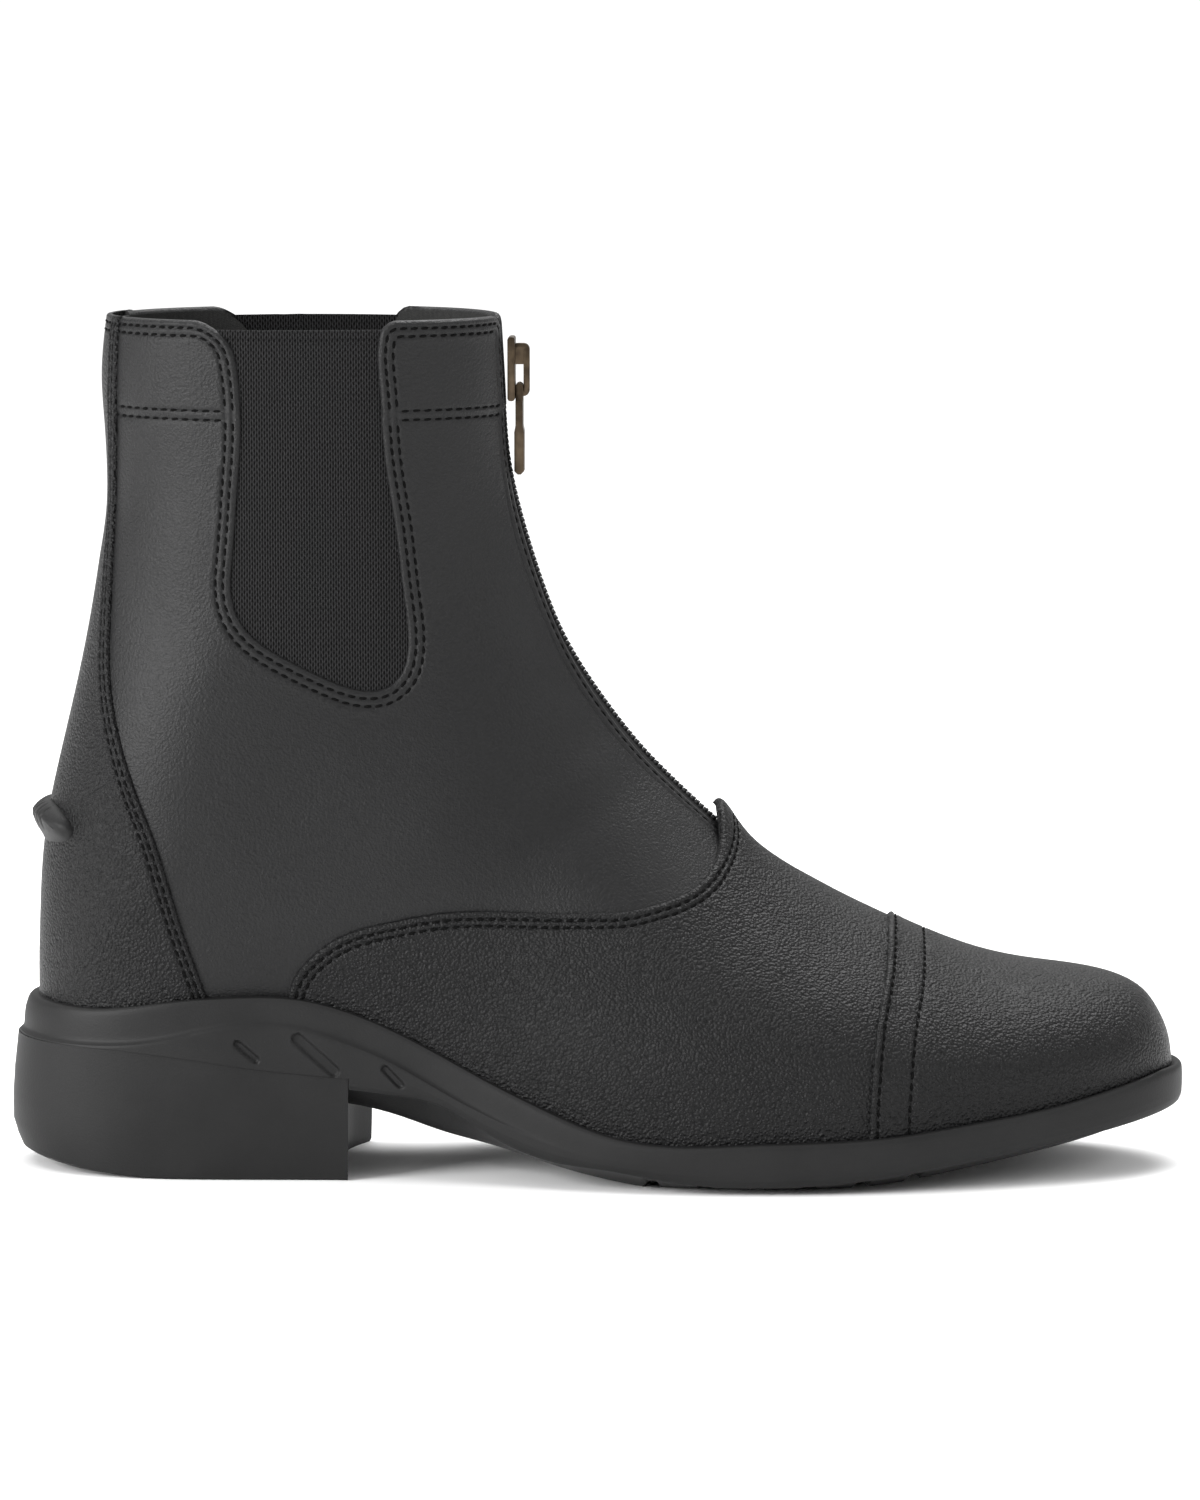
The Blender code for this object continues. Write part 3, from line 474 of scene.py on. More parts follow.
def mesh_piece(name: str, places: Any, faces: list[Face], sharp: float = 180, closed: bool = False) -> Piece:
    """Puts a new smooth mesh into the scene.

    Args:
        name: Name of the object.
        places: Its corners.
        faces: Its polygons.
        sharp: Angle in degrees above which an edge stays sharp.
        closed: Whether its faces are turned outward first.

    Returns:
        The object.
    """
    mesh = bpy.data.meshes.new(name)
    mesh.from_pydata(np.asarray(places).tolist(), [], faces)
    if closed:
        work = bmesh.new()
        work.from_mesh(mesh)
        bmesh.ops.recalc_face_normals(work, faces=work.faces)
        if work.calc_volume(signed=True) < 0:
            bmesh.ops.reverse_faces(work, faces=work.faces)
        work.to_mesh(mesh)
        work.free()
    shade(mesh, sharp)
    return link(name, mesh)


class Patch:
    """Polygons on the last with the named fields at each corner."""

    snap = 0.00005
    sharp = 48

    def __init__(self, data: np.ndarray, columns: dict[str, int], faces: list[Face]) -> None:
        """Keeps a row of place, normal and fields for each corner, and each field's column."""
        self.data, self.columns, self.faces = data, columns, faces

    @property
    def place(self) -> np.ndarray:
        """Place of each corner."""
        return self.data[:, 0:3]

    @property
    def normal(self) -> np.ndarray:
        """Outward direction at each corner."""
        return self.data[:, 3:6]

    def __getitem__(self, name: str) -> np.ndarray:
        """Values of a field."""
        return self.data[:, self.columns[name]]

    def split(self, name: str, *levels: float) -> Patch:
        """Cuts the polygons along contour lines of a field.

        Args:
            name: The field.
            levels: Its values on the lines.

        Returns:
            This patch.
        """
        column = self.columns[name]
        for level in levels:
            self.data[np.abs(self[name] - level) < self.snap, column] = level
            value = (self[name] - level).tolist()
            fresh: dict[tuple[int, int], int] = {}
            rows, faces = [], []
            for face in self.faces:
                values = [value[i] for i in face]
                if min(values) >= 0 or max(values) <= 0:
                    faces.append(face)
                    continue
                plus, minus = [], []
                for a, b in edges(face):
                    plus += [a] if value[a] >= 0 else []
                    minus += [a] if value[a] <= 0 else []
                    if value[a] * value[b] < 0:
                        low, high = key = (min(a, b), max(a, b))
                        if key not in fresh:
                            share = value[low] / (value[low] - value[high])
                            row = self.data[low] * (1 - share) + self.data[high] * share
                            row[column] = level
                            fresh[key] = len(self.data) + len(rows)
                            rows.append(row)
                        plus.append(fresh[key])
                        minus.append(fresh[key])
                faces += [tuple(part) for part in (plus, minus) if len(part) > 2]
            self.faces = faces
            self.data = np.vstack([self.data, *rows])
        return self

    def keep(self, name: str, level: float = 0.0, above: bool = True) -> Patch:
        """Cuts along a contour line and drops what lies on its other side.

        Args:
            name: The field.
            level: Its value on the line.
            above: Whether the greater values stay.

        Returns:
            This patch.
        """
        value = ((self.split(name, level)[name] - level) * (1 if above else -1)).tolist()
        faces = [face for face in self.faces if min(v := [value[i] for i in face]) >= 0 < max(v)]
        used, again = np.unique([i for face in faces for i in face], return_inverse=True)
        fresh = iter(again.tolist())
        self.data = self.data[used]
        self.faces = [tuple(next(fresh) for _ in face) for face in faces]
        return self

    def contour(self, name: str, level: float) -> list[np.ndarray]:
        """Corners along a contour line that the patch was split at.

        Args:
            name: The field.
            level: Its value on the line.

        Returns:
            Chains of corners, in order.
        """
        on_line = (self[name] == level).tolist()
        ties: dict[int, set[int]] = {}
        for face in self.faces:
            for a, b in edges(face):
                if on_line[a] and on_line[b]:
                    ties.setdefault(a, set()).add(b)
                    ties.setdefault(b, set()).add(a)
        chains = []
        for start in sorted(ties, key=lambda i: (len(ties[i]) != 1, i)):
            chain = [start]
            while ties[chain[-1]]:
                step = min(ties[chain[-1]])
                ties[chain[-1]].discard(step)
                ties[step].discard(chain[-1])
                chain.append(step)
            chains.append(np.array(chain))
        return [chain for chain in chains if len(chain) > 3]

    def shell(self, name: str, high: Any, low: Any, edge: np.ndarray | None = None) -> Piece:
        """Closed mesh between two heights over the last.

        Args:
            name: Name of the object.
            high: Height of the outer face.
            low: Height of the inner face.
            edge: Which corners belong to a cut edge, painted lighter there as its highlight.

        Returns:
            The object. Its inner faces use the second material, and its cut edge the third, a lighter grey
            that paints the edge's highlight.
        """
        count = len(self.data)
        sides = [self.place + self.normal * np.broadcast_to(height, count)[:, None] for height in (high, low)]
        pairs = dict.fromkeys(pair for face in self.faces for pair in edges(face))
        walls = [(b, a, a + count, b + count) for a, b in pairs if (b, a) not in pairs]
        under = [tuple(i + count for i in reversed(face)) for face in self.faces]
        obj = mesh_piece(name, np.vstack(sides), [*self.faces, *walls, *under], self.sharp)
        cut = np.broadcast_to(False if edge is None else edge, count).tolist()
        index = [2 * all(cut[i] for i in face) for face in self.faces] + [2 * cut[wall[0]] for wall in walls]
        obj.data.polygons.foreach_set("material_index", index + [1] * len(under))
        return obj


class Profile:
    """Height across a seam by distance from the edge, both given in millimetres."""

    def __init__(self, *steps: tuple[float, float]) -> None:
        """Keeps the steps, each a distance and a height."""
        self.distance, self.height = np.array(steps, dtype=float).T

    def __call__(self, distance: np.ndarray) -> np.ndarray:
        """Height at each distance, in metres."""
        return np.interp(distance, self.distance * MM, self.height * MM)

    def levels(self) -> np.ndarray:
        """Distances where the slope changes, beyond the edge itself, in metres."""
        return self.distance[self.distance > 0] * MM


def groove(place: float, depth: float, rest: float = 0.0, half: float = 0.55) -> list[tuple[float, float]]:
    """Steps of a stitch groove with its middle at place, rest high beside it and two halves wide."""
    shape = ((-1, 0), (-0.45, 0.72), (0, 1), (0.45, 0.72), (1, 0))
    return [(place + half * across, rest - depth * down) for across, down in shape]


def rounded(first: np.ndarray, second: np.ndarray, radius: Any) -> np.ndarray:
    """Distance from two edges whose corner is round."""
    near = (first < radius) & (second < radius)
    return np.where(near, radius - np.hypot(radius - first, radius - second), np.minimum(first, second))


class BootSkin:
    """Dense grid over the last, with the distance to every seam."""

    half_girth = 0.148
    back_corner = 0.0090
    front_corner = 0.0036
    reach = 0.016
    off_edge = 0.0012

    def __init__(self, last: Last, pitch: float = 0.0016) -> None:
        """Builds the grid, lays the soft folds into it and measures the seams.

        Args:
            last: The foot form.
            pitch: Rough size of a cell.
        """
        self.last = last
        places, self.front_share, self.faces = self.grid(pitch)
        self.places = places + self.normals(places) * self.folds(places)[:, None]
        self.normal = self.normals(self.places)
        self.tree = BVHTree.FromPolygons(self.places.tolist(), self.faces)
        self.middle = last.middle(last.share_x(self.places[:, 0]))
        self.fields: dict[str, np.ndarray] = {}
        self.measure()

    def grid(self, pitch: float) -> tuple[np.ndarray, np.ndarray, list[Face]]:
        """Even grid of quads from the toe to the collar.

        Args:
            pitch: Rough size of a cell.

        Returns:
            Places, share of the way up to the front line, and faces.
        """
        trial = np.linspace(0, 2, 1001)
        lines = np.array([self.last.section(base, -1, np.array([0.0, 0.5, 1.0])) for base in trial])
        reach = np.concatenate([[0], np.cumsum(np.linalg.norm(np.diff(lines, axis=0), axis=2).max(axis=1))])
        share = (1 - np.cos(np.linspace(0, math.pi, 300))) / 2
        rows = []
        for base in np.interp(np.linspace(0, reach[-1], int(reach[-1] / pitch)), reach, trial):
            sides = []
            for side in (-1, 1):
                points = self.last.section(float(base), side, share)
                length = path_length(points)
                even = np.linspace(0, length[-1], int(self.half_girth / pitch) + 1)
                sides.append(resample(np.column_stack([points, share]), length, even))
            rows.append(np.vstack([sides[0], sides[1][-2::-1]]))
        flat = np.vstack(rows)
        _, first, where = np.unique(np.round(flat[:, :3], 6), axis=0, return_index=True, return_inverse=True)
        where = where.reshape(len(rows), -1).tolist()
        faces = []
        for low, high in zip(where[:-1], where[1:]):
            quads = zip(low, low[1:], high[1:], high)
            faces += [face for face in (tuple(dict.fromkeys(quad)) for quad in quads) if len(face) > 2]
        places, shares = flat[first, :3], flat[first, 3]
        self.top_row = places[where[-1]]
        return places, shares, faces

    def normals(self, places: np.ndarray) -> np.ndarray:
        """Smooth normals of the grid.

        Args:
            places: Its corners.

        Returns:
            One unit vector for each corner.
        """
        ids = np.array([face if len(face) == 4 else face + face[-1:] for face in self.faces])
        cross = np.cross(places[ids[:, 2]] - places[ids[:, 0]], places[ids[:, 3]] - places[ids[:, 1]])
        total = np.zeros_like(places)
        for k in range(4):
            np.add.at(total, ids[:, k], cross)
        return unit(total)

    @staticmethod
    def folds(places: np.ndarray) -> np.ndarray:
        """Height of the soft folds over the last.

        Args:
            places: Corners of the grid.

        Returns:
            One height for each corner.
        """
        flat = places[:, [0, 2]]
        height = np.zeros(len(places))
        for x0, z0, x1, z1, half, depth in zip(*FOLDS.values()):
            start, step = np.array([x0, z0]), np.array([x1 - x0, z1 - z0])
            share = (flat - start) @ step / float(step @ step)
            away = np.linalg.norm(flat - start - np.clip(share, 0, 1)[:, None] * step, axis=1)
            height -= depth * np.exp(-((away / half) ** 2)) * np.sin(np.pi * np.clip(share * 0.8 + 0.1, 0, 1))
        return height

    def on_surface(self, line: np.ndarray, side: int) -> tuple[np.ndarray, list[bool]]:
        """Lays a line of the side view onto one side of the last.

        Args:
            line: Points in the side view.
            side: -1 for the outer side and 1 for the inner side.

        Returns:
            Points on the surface, and whether the line goes on from each to the next.
        """
        outline = np.vstack([self.last.front, self.last.back])
        points, joined = [], []
        for x, z in line:
            hit = self.tree.ray_cast(Vector((x, side * 0.2, z)), Vector((0, -side, 0)))[0]
            if hit is None:
                away = np.linalg.norm(outline - (x, z), axis=1)
                if away.min() > self.off_edge:
                    joined[-1:] = [False] * len(joined[-1:])
                    continue
                x, z = outline[np.argmin(away)]
                hit = (x, self.last.middle(self.last.share_x(x)), z)
            points.append(np.array(hit))
            joined.append(True)
        return np.array(points), joined[:-1]

    def seam(self, name: str, rows: Table, *closing: tuple[float, float], sign: int = 1) -> None:
        """Adds the signed distance from a seam as a field.

        Args:
            name: Name of the field.
            rows: The seam's table.
            closing: Corners that close the panel in the side view, as shares like the table's.
            sign: Sign of the distance inside the panel.
        """
        last, line = self.last, self.last.seam(rows)
        corners = np.array([(last.place_x(along), up * last.height) for along, up in closing]).reshape(-1, 2)
        flat = self.places[:, [0, 2]]
        low, high = line.min(axis=0) - self.reach, line.max(axis=0) + self.reach
        close = np.all((flat > low) & (flat < high), axis=1)
        best = np.full(len(self.places), FAR)
        for side in (-1, 1):
            here = np.flatnonzero(close & (side * (self.places[:, 1] - self.middle) > -0.012))
            best[here] = np.minimum(best[here], distance_to(self.places[here], *self.on_surface(line, side)))
        self.fields[name] = best * np.where(inside(flat, np.vstack([line, corners])), sign, -sign)

    def measure(self) -> None:
        """Fills the fields of all seams."""
        self.seam("gore", GORE, sign=-1)
        self.seam("vamp", VAMP_EDGE, (1.2, 0.47), (1.2, -0.2), (0.222, -0.2))
        self.seam("counter", COUNTER_EDGE, (0.164, -0.2), (-0.2, -0.2), (-0.2, 1.02))
        self.seam("cap", CAP_EDGE, (0.739, -0.2), (1.2, -0.2), (1.2, 0.4))
        self.seam("spur", SPUR_EDGE)
        x, y, z = self.places.T
        slot = np.where(self.front_share > 0.6, np.abs(y - self.middle) - ZIP_SLOT / 2, FAR)
        high = z > self.last.height - 0.02
        collar = np.full(len(z), FAR)
        collar[high] = distance_to(self.places[high], self.top_row, [True] * (len(self.top_row) - 1))
        corner = np.where(x < self.last.place_x(0.245), self.back_corner, self.front_corner)
        rim = rounded(rounded(self.fields["gore"], collar, corner), slot, self.front_corner)
        flap = smooth_step(0.073, 0.088, z) * smooth_step(0.116, 0.124, x)
        vamp_row = self.fields["vamp"] - 0.0036 * flap
        self.fields.update(slot=slot, collar=collar, up=z, across=y - self.middle, rim=rim, vamp_row=vamp_row)

    def patch(self) -> Patch:
        """The whole grid with all its fields, for a panel to cut itself from."""
        data = np.column_stack([self.places, self.normal, *self.fields.values()])
        return Patch(data, {name: 6 + i for i, name in enumerate(self.fields)}, self.faces)


class Wire:
    """Output of a shader node that takes part in sums."""

    def __init__(self, paint: Paint, socket: bpy.types.NodeSocket) -> None:
        """Keeps the socket and the material it belongs to."""
        self.paint, self.socket = paint, socket

    def maths(self, operation: str, *values: Any, clamp: bool = False) -> Wire:
        """Adds a Math node over numbers or wires, held between 0 and 1 by clamp."""
        settings = {"operation": operation, "use_clamp": clamp}
        return self.paint.node("ShaderNodeMath", settings, dict(enumerate(values)))

    def __add__(self, other: Any) -> Wire:
        """Sum."""
        return self.maths("ADD", self, other)

    __radd__ = __add__

    def __mul__(self, other: Any) -> Wire:
        """Product."""
        return self.maths("MULTIPLY", self, other)

    __rmul__ = __mul__

    def __sub__(self, other: Any) -> Wire:
        """Difference."""
        return self.maths("SUBTRACT", self, other)

    def __rsub__(self, other: Any) -> Wire:
        """Difference from a number."""
        return self.maths("SUBTRACT", other, self)

    def sine(self) -> Wire:
        """Sine."""
        return self.maths("SINE", self)

    def between(self, low: float, high: float) -> Wire:
        """0 at low and 1 at high, held there."""
        return self.maths("DIVIDE", self - low, high - low, clamp=True)


class Paint:
    """A material under construction."""

    def __init__(self, name: str) -> None:
        """Starts an empty material.

        Args:
            name: Its name.
        """
        self.material = bpy.data.materials.new(name)
        self.material.use_nodes = True
        self.tree = self.material.node_tree
        self.tree.nodes.clear()

    def node(self, kind: str, settings: dict[str, Any], sockets: dict[Any, Any], output: Any = 0) -> Wire:
        """Adds a node.

        Args:
            kind: The node's type.
            settings: Its properties, set first.
            sockets: Numbers, vectors or wires for its inputs, by name or by number.
            output: The output that is used.

        Returns:
            That output.
        """
        node = self.tree.nodes.new(kind)
        for name, value in settings.items():
            setattr(node, name, value)
        for name, value in sockets.items():
            if isinstance(value, Wire):
                self.tree.links.new(value.socket, node.inputs[name])
            else:
                node.inputs[name].default_value = value
        return Wire(self, node.outputs[output])

    def place(self, *stretch: float) -> Wire:
        """Place on the boot in metres, stretched along each axis."""
        at = self.node("ShaderNodeTexCoord", {}, {}, "Object")
        return self.node("ShaderNodeVectorMath", {"operation": "MULTIPLY"}, {0: at, 1: stretch or (1, 1, 1)})

    def axis(self, spot: Wire, number: int) -> Wire:
        """One coordinate of a place."""
        return self.node("ShaderNodeSeparateXYZ", {}, {0: spot}, number)

    def noise(self, spot: Wire, size: float, detail: float = 3.0) -> Wire:
        """Noise with features of a size in metres, around 0.5."""
        return self.node("ShaderNodeTexNoise", {}, {"Vector": spot, "Scale": 1 / size, "Detail": detail})

    def cells(self, spot: Wire, size: float) -> Wire:
        """Distance in a soft pattern of cells of a size in metres, as a share of it."""
        sockets = {"Vector": spot, "Scale": 1 / size}
        return self.node("ShaderNodeTexVoronoi", {"feature": "SMOOTH_F1"}, sockets)

    def tint(self, factor: Wire, dark: Colour, light: Colour) -> Wire:
        """Mixes two colours."""
        sockets = {0: factor, 6: (*dark, 1), 7: (*light, 1)}
        return self.node("ShaderNodeMix", {"data_type": "RGBA"}, sockets, 2)

    def bump(self, height: Wire, distance: float) -> Wire:
        """Normal of a small relief whose full height is a distance in metres."""
        return self.node("ShaderNodeBump", {}, {"Height": height, "Distance": distance})

    def close(self, **sockets: Any) -> bpy.types.Material:
        """Ends with a Principled shader.

        Args:
            sockets: Its inputs, with underscores for spaces.

        Returns:
            The material.
        """
        named = {name.replace("_", " "): value for name, value in sockets.items()}
        shader = self.node("ShaderNodeBsdfPrincipled", {}, named)
        target = self.tree.nodes.new("ShaderNodeOutputMaterial")
        self.tree.links.new(shader.socket, target.inputs["Surface"])
        return self.material


class Grain(Enum):
    """How the leather was finished: its relief's depth, its pores' darkness and its shine."""

    SMOOTH = (0.27, 0.4, 0.205)
    PEBBLED = (0.95, 0.9, 0.155)


@dataclass(frozen=True)
class Leather:
    """Dyed leather with a fine grain."""

    name: str
    grain: Grain
    dark: Colour = (0.0030, 0.0030, 0.0032)
    light: Colour = (0.0100, 0.0100, 0.0103)
    roughness: float = 0.40
    pebble: float = 0.00062
    relief: float = 0.00062

    def material(self) -> bpy.types.Material:
        """Builds the leather.

        Returns:
            The material.
        """
        paint = Paint(self.name)
        spot = paint.place()
        drift = paint.noise(spot, 0.045, 2)
        pores = paint.cells(spot, self.pebble)
        fine = paint.noise(spot, 0.00030)
        zone = paint.noise(spot, 0.030, 2).between(0.36, 0.62)
        depth, darkness, shine = self.grain.value
        relief = (1 - pores) * (zone * 0.25 + 0.75) * depth + fine * 0.20
        speckle = pores * darkness + drift * 0.5
        colour = paint.tint(speckle.between(0.25, 0.95), self.light, self.dark)
        polish = self.roughness + (drift - 0.5) * 0.16 + fine * 0.05
        normal = paint.bump(relief, self.relief)
        return paint.close(Base_Color=colour, Roughness=polish, Normal=normal, Specular_IOR_Level=shine)


@dataclass(frozen=True)
class Elastic:
    """Knitted elastic with fine upright ribs, with its highlights and shade painted into its colour."""

    name: str = "knitted_elastic"
    rib: float = 0.00063
    course: float = 0.00148
    relief: float = 0.0005
    # dark paints the shade in the knit's hollows, light the highlight on its rib tops
    dark: Colour = (0.0006, 0.0006, 0.0006)
    light: Colour = (0.0360, 0.0360, 0.0368)

    def material(self) -> bpy.types.Material:
        """Builds the knit.

        Returns:
            The material.
        """
        paint = Paint(self.name)
        spot = paint.place()
        x, z = paint.axis(spot, 0), paint.axis(spot, 2)
        wander = paint.noise(spot, 0.004, 2)
        ribs = (x * (2 * math.pi / self.rib) + wander * 2.2).sine() * 0.5 + 0.5
        shift = (x * (math.pi / self.rib)).sine().between(-0.3, 0.3) * math.pi
        loops = (z * (2 * math.pi / self.course) + shift + wander * 1.5).sine() * 0.5 + 0.5
        fuzz = paint.noise(spot, 0.0003)
        relief = ribs * 0.50 + loops * 0.38 + fuzz * 0.25
        # Colour follows the relief: rib tops painted light as highlights, hollows painted dark as shade
        colour = paint.tint((relief * 0.8 + fuzz * 0.2).between(0.35, 0.95), self.dark, self.light)
        normal = paint.bump(relief, self.relief)
        return paint.close(Base_Color=colour, Roughness=0.86, Normal=normal, Specular_IOR_Level=0.10)


@dataclass(frozen=True)
class Rubber:
    """Moulded rubber, satin with faint marks of use."""

    name: str = "moulded_rubber"
    relief: float = 0.00005
    dark: Colour = (0.0060, 0.0060, 0.0061)
    light: Colour = (0.0095, 0.0095, 0.0096)

    def material(self) -> bpy.types.Material:
        """Builds the rubber.

        Returns:
            The material.
        """
        paint = Paint(self.name)
        spot = paint.place()
        cloud, fine = paint.noise(spot, 0.018, 4), paint.noise(spot, 0.0005, 2)
        colour = paint.tint(cloud.between(0.3, 0.7), self.dark, self.light)
        polish = cloud * 0.16 + 0.46
        normal = paint.bump(fine + cloud * 0.6, self.relief)
        return paint.close(Base_Color=colour, Roughness=polish, Normal=normal, Specular_IOR_Level=0.22)


@dataclass(frozen=True)
class Metal:
    """Antique bronze, dark in some patches and rubbed bright in others."""

    name: str = "antique_bronze"
    relief: float = 0.00004
    dark: Colour = (0.040, 0.030, 0.021)
    light: Colour = (0.105, 0.078, 0.052)

    def material(self) -> bpy.types.Material:
        """Builds the metal.

        Returns:
            The material.
        """
        paint = Paint(self.name)
        rubbed = paint.noise(paint.place(), 0.0030, 4)
        scratch = paint.noise(paint.place(1, 1, 0.12), 0.0002, 2)
        colour = paint.tint(rubbed.between(0.30, 0.72), self.dark, self.light)
        polish = rubbed * 0.18 + 0.30
        normal = paint.bump(rubbed * 0.5 + scratch * 0.3, self.relief)
        return paint.close(Base_Color=colour, Metallic=1.0, Roughness=polish, Normal=normal)


@dataclass(frozen=True)
class Cloth:
    """Close textile, for lining, tape and thread."""

    name: str
    dark: Colour
    light: Colour
    weave: float = 0.0006
    relief: float = 0.00012
    shine: float = 0.20

    def material(self) -> bpy.types.Material:
        """Builds the textile.

        Returns:
            The material.
        """
        paint = Paint(self.name)
        spot, threads = paint.place(), paint.place(*[2 * math.pi / self.weave] * 3)
        x, y, z = (paint.axis(threads, k).sine() for k in range(3))
        web = (x * y + y * z + x * z) * 0.3 + 0.5
        relief = web * 0.25 + paint.noise(spot, 0.0004) * 0.75
        colour = paint.tint(relief.between(0.2, 0.8), self.dark, self.light)
        normal = paint.bump(relief, self.relief)
        return paint.close(Base_Color=colour, Roughness=0.85, Normal=normal, Specular_IOR_Level=self.shine)


class Finishes:
    """All finishes of the boot, each built once."""

    def __init__(self) -> None:
        """Builds the materials."""
        self.smooth = Leather("smooth_leather", Grain.SMOOTH).material()
        self.pebbled = Leather("grained_leather", Grain.PEBBLED).material()
        self.elastic, self.rubber, self.metal = Elastic().material(), Rubber().material(), Metal().material()
        black, soot, ash = (0.001,) * 3, (0.004,) * 3, (0.010,) * 3
        self.thread = Cloth("thread", black, (0.006,) * 3, 0.0005, 0.0001, 0.05).material()
        self.lining = Cloth("lining_cloth", ash, (0.034, 0.034, 0.033)).material()
        self.tape = Cloth("zip_tape_cloth", soot, (0.014,) * 3).material()
        self.coil = Cloth("zip_coil", (0.012,) * 3, (0.040, 0.040, 0.041), 0.0008, 0.00002).material()
        # Lighter grey for the panels' cut and folded edges: a painted highlight along them
        self.edge = Cloth("edge_highlight", (0.055,) * 3, (0.190,) * 3, 0.0007, 0.00006).material()


class Slot(Enum):
    """Material slots of the record."""

    LEATHER = "leather_black"
    ELASTIC = "elastic_black"
    RUBBER = "rubber_black"
    METAL = "metal_bronze"
    LINING = "lining_dark"


class Body(Enum):
    """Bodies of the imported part."""

    BOOT = "boot"
    PULL = "pull_tab"


def dress(obj: Piece, slot: Slot, *materials: Any, node: str = "", body: Body = Body.BOOT) -> None:
    """Gives a piece its finish and its place on the part.

    Args:
        obj: The piece.
        slot: Slot of the record that its finish belongs to; not used.
        materials: Its materials, in order of index.
        node: Solid that it replaces.
        body: Body that it rides on.
    """
    obj.data.materials.clear()
    for material in materials:
        obj.data.materials.append(material)
    if node:
        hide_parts(node)
    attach(obj, body.value)
    LOG.info("%s: %d faces", obj.name, len(obj.data.polygons))


@dataclass
class Thread:
    """Rows of stitches laid along contour lines."""

    pitch: float = 0.0027
    length: float = 0.0022
    radius: float = 0.00037
    dip: float = 0.00026
    slant: float = 0.10
    sides: int = 6
    lines: list[tuple[np.ndarray, np.ndarray]] = field(default_factory=list)

    def follow(self, patch: Patch, height: np.ndarray, name: str, rows: Any, allowed: Any = True) -> None:
        """Notes the rows of stitches along contour lines.

        Args:
            patch: Panel that was split at the lines.
            height: Height of its outer face.
            name: The field of the lines.
            rows: Its values there, in millimetres.
            allowed: Which corners may carry a stitch.
        """
        free = np.broadcast_to(allowed, len(height))
        place = patch.place + patch.normal * height[:, None]
        for chain in (chain for row in rows for chain in patch.contour(name, row * MM)):
            for run in np.split(chain, np.flatnonzero(~free[chain])):
                run = run[0 if len(run) and free[run[0]] else 1 :]
                if len(run) > 3:
                    self.lines.append((place[run], patch.normal[run]))

    def template(self) -> tuple[np.ndarray, list[Face]]:
        """One stitch along its first axis.

        Returns:
            Its corners, with the third axis up, and its faces.
        """
        stations = ((-0.5, 0.3, -1), (-0.36, 0.86, -0.15), (0, 1, 0.35), (0.36, 0.86, -0.15), (0.5, 0.3, -1))
        angle = 2 * math.pi * np.arange(self.sides) / self.sides
        round_y, round_z = self.radius * np.cos(angle), self.radius * np.sin(angle) * 0.85
        rings = []
        for along, wide, rise in stations:
            x = np.full(self.sides, along * self.length)
            rings.append(np.column_stack([x, wide * round_y, wide * round_z + self.dip * rise]))
        return np.vstack(rings), tube(len(rings), self.sides)

    def build(self, name: str) -> Piece:
        """Makes all noted rows one piece.

        Args:
            name: Its name.

        Returns:
            The piece.
        """
        shape, loops = self.template()
        places, faces = [], []
        for line, normals in self.lines:
            reach = path_length(line)
            number = int(reach[-1] / self.pitch)
            wanted = (np.arange(number) + 0.5) * reach[-1] / max(number, 1)
            ahead = unit(resample(line, reach, wanted + 0.0004) - resample(line, reach, wanted - 0.0004))
            across = unit(np.cross(resample(normals, reach, wanted), ahead))
            for spot, a, s, u in zip(resample(line, reach, wanted), ahead, across, np.cross(ahead, across)):
                faces += [tuple(i + len(places) * len(shape) for i in loop) for loop in loops]
                places.append(spot + shape @ np.array([a + s * self.slant, s, u]))
        return mesh_piece(name, np.vstack(places), faces)


def tube(rings: int, sides: int) -> list[Face]:
    """Faces of a closed tube whose corners lie ring by ring.

    Args:
        rings: How many rings it has.
        sides: Corners of each ring.

    Returns:
        One end, the sides and the other end.
    """
    turns = [(r * sides + k, r * sides + (k + 1) % sides) for r in range(rings - 1) for k in range(sides)]
    ends = [tuple(range(sides))[::-1], tuple(range((rings - 1) * sides, rings * sides))]
    return [ends[0], *((a, b, b + sides, a + sides) for a, b in turns), ends[1]]


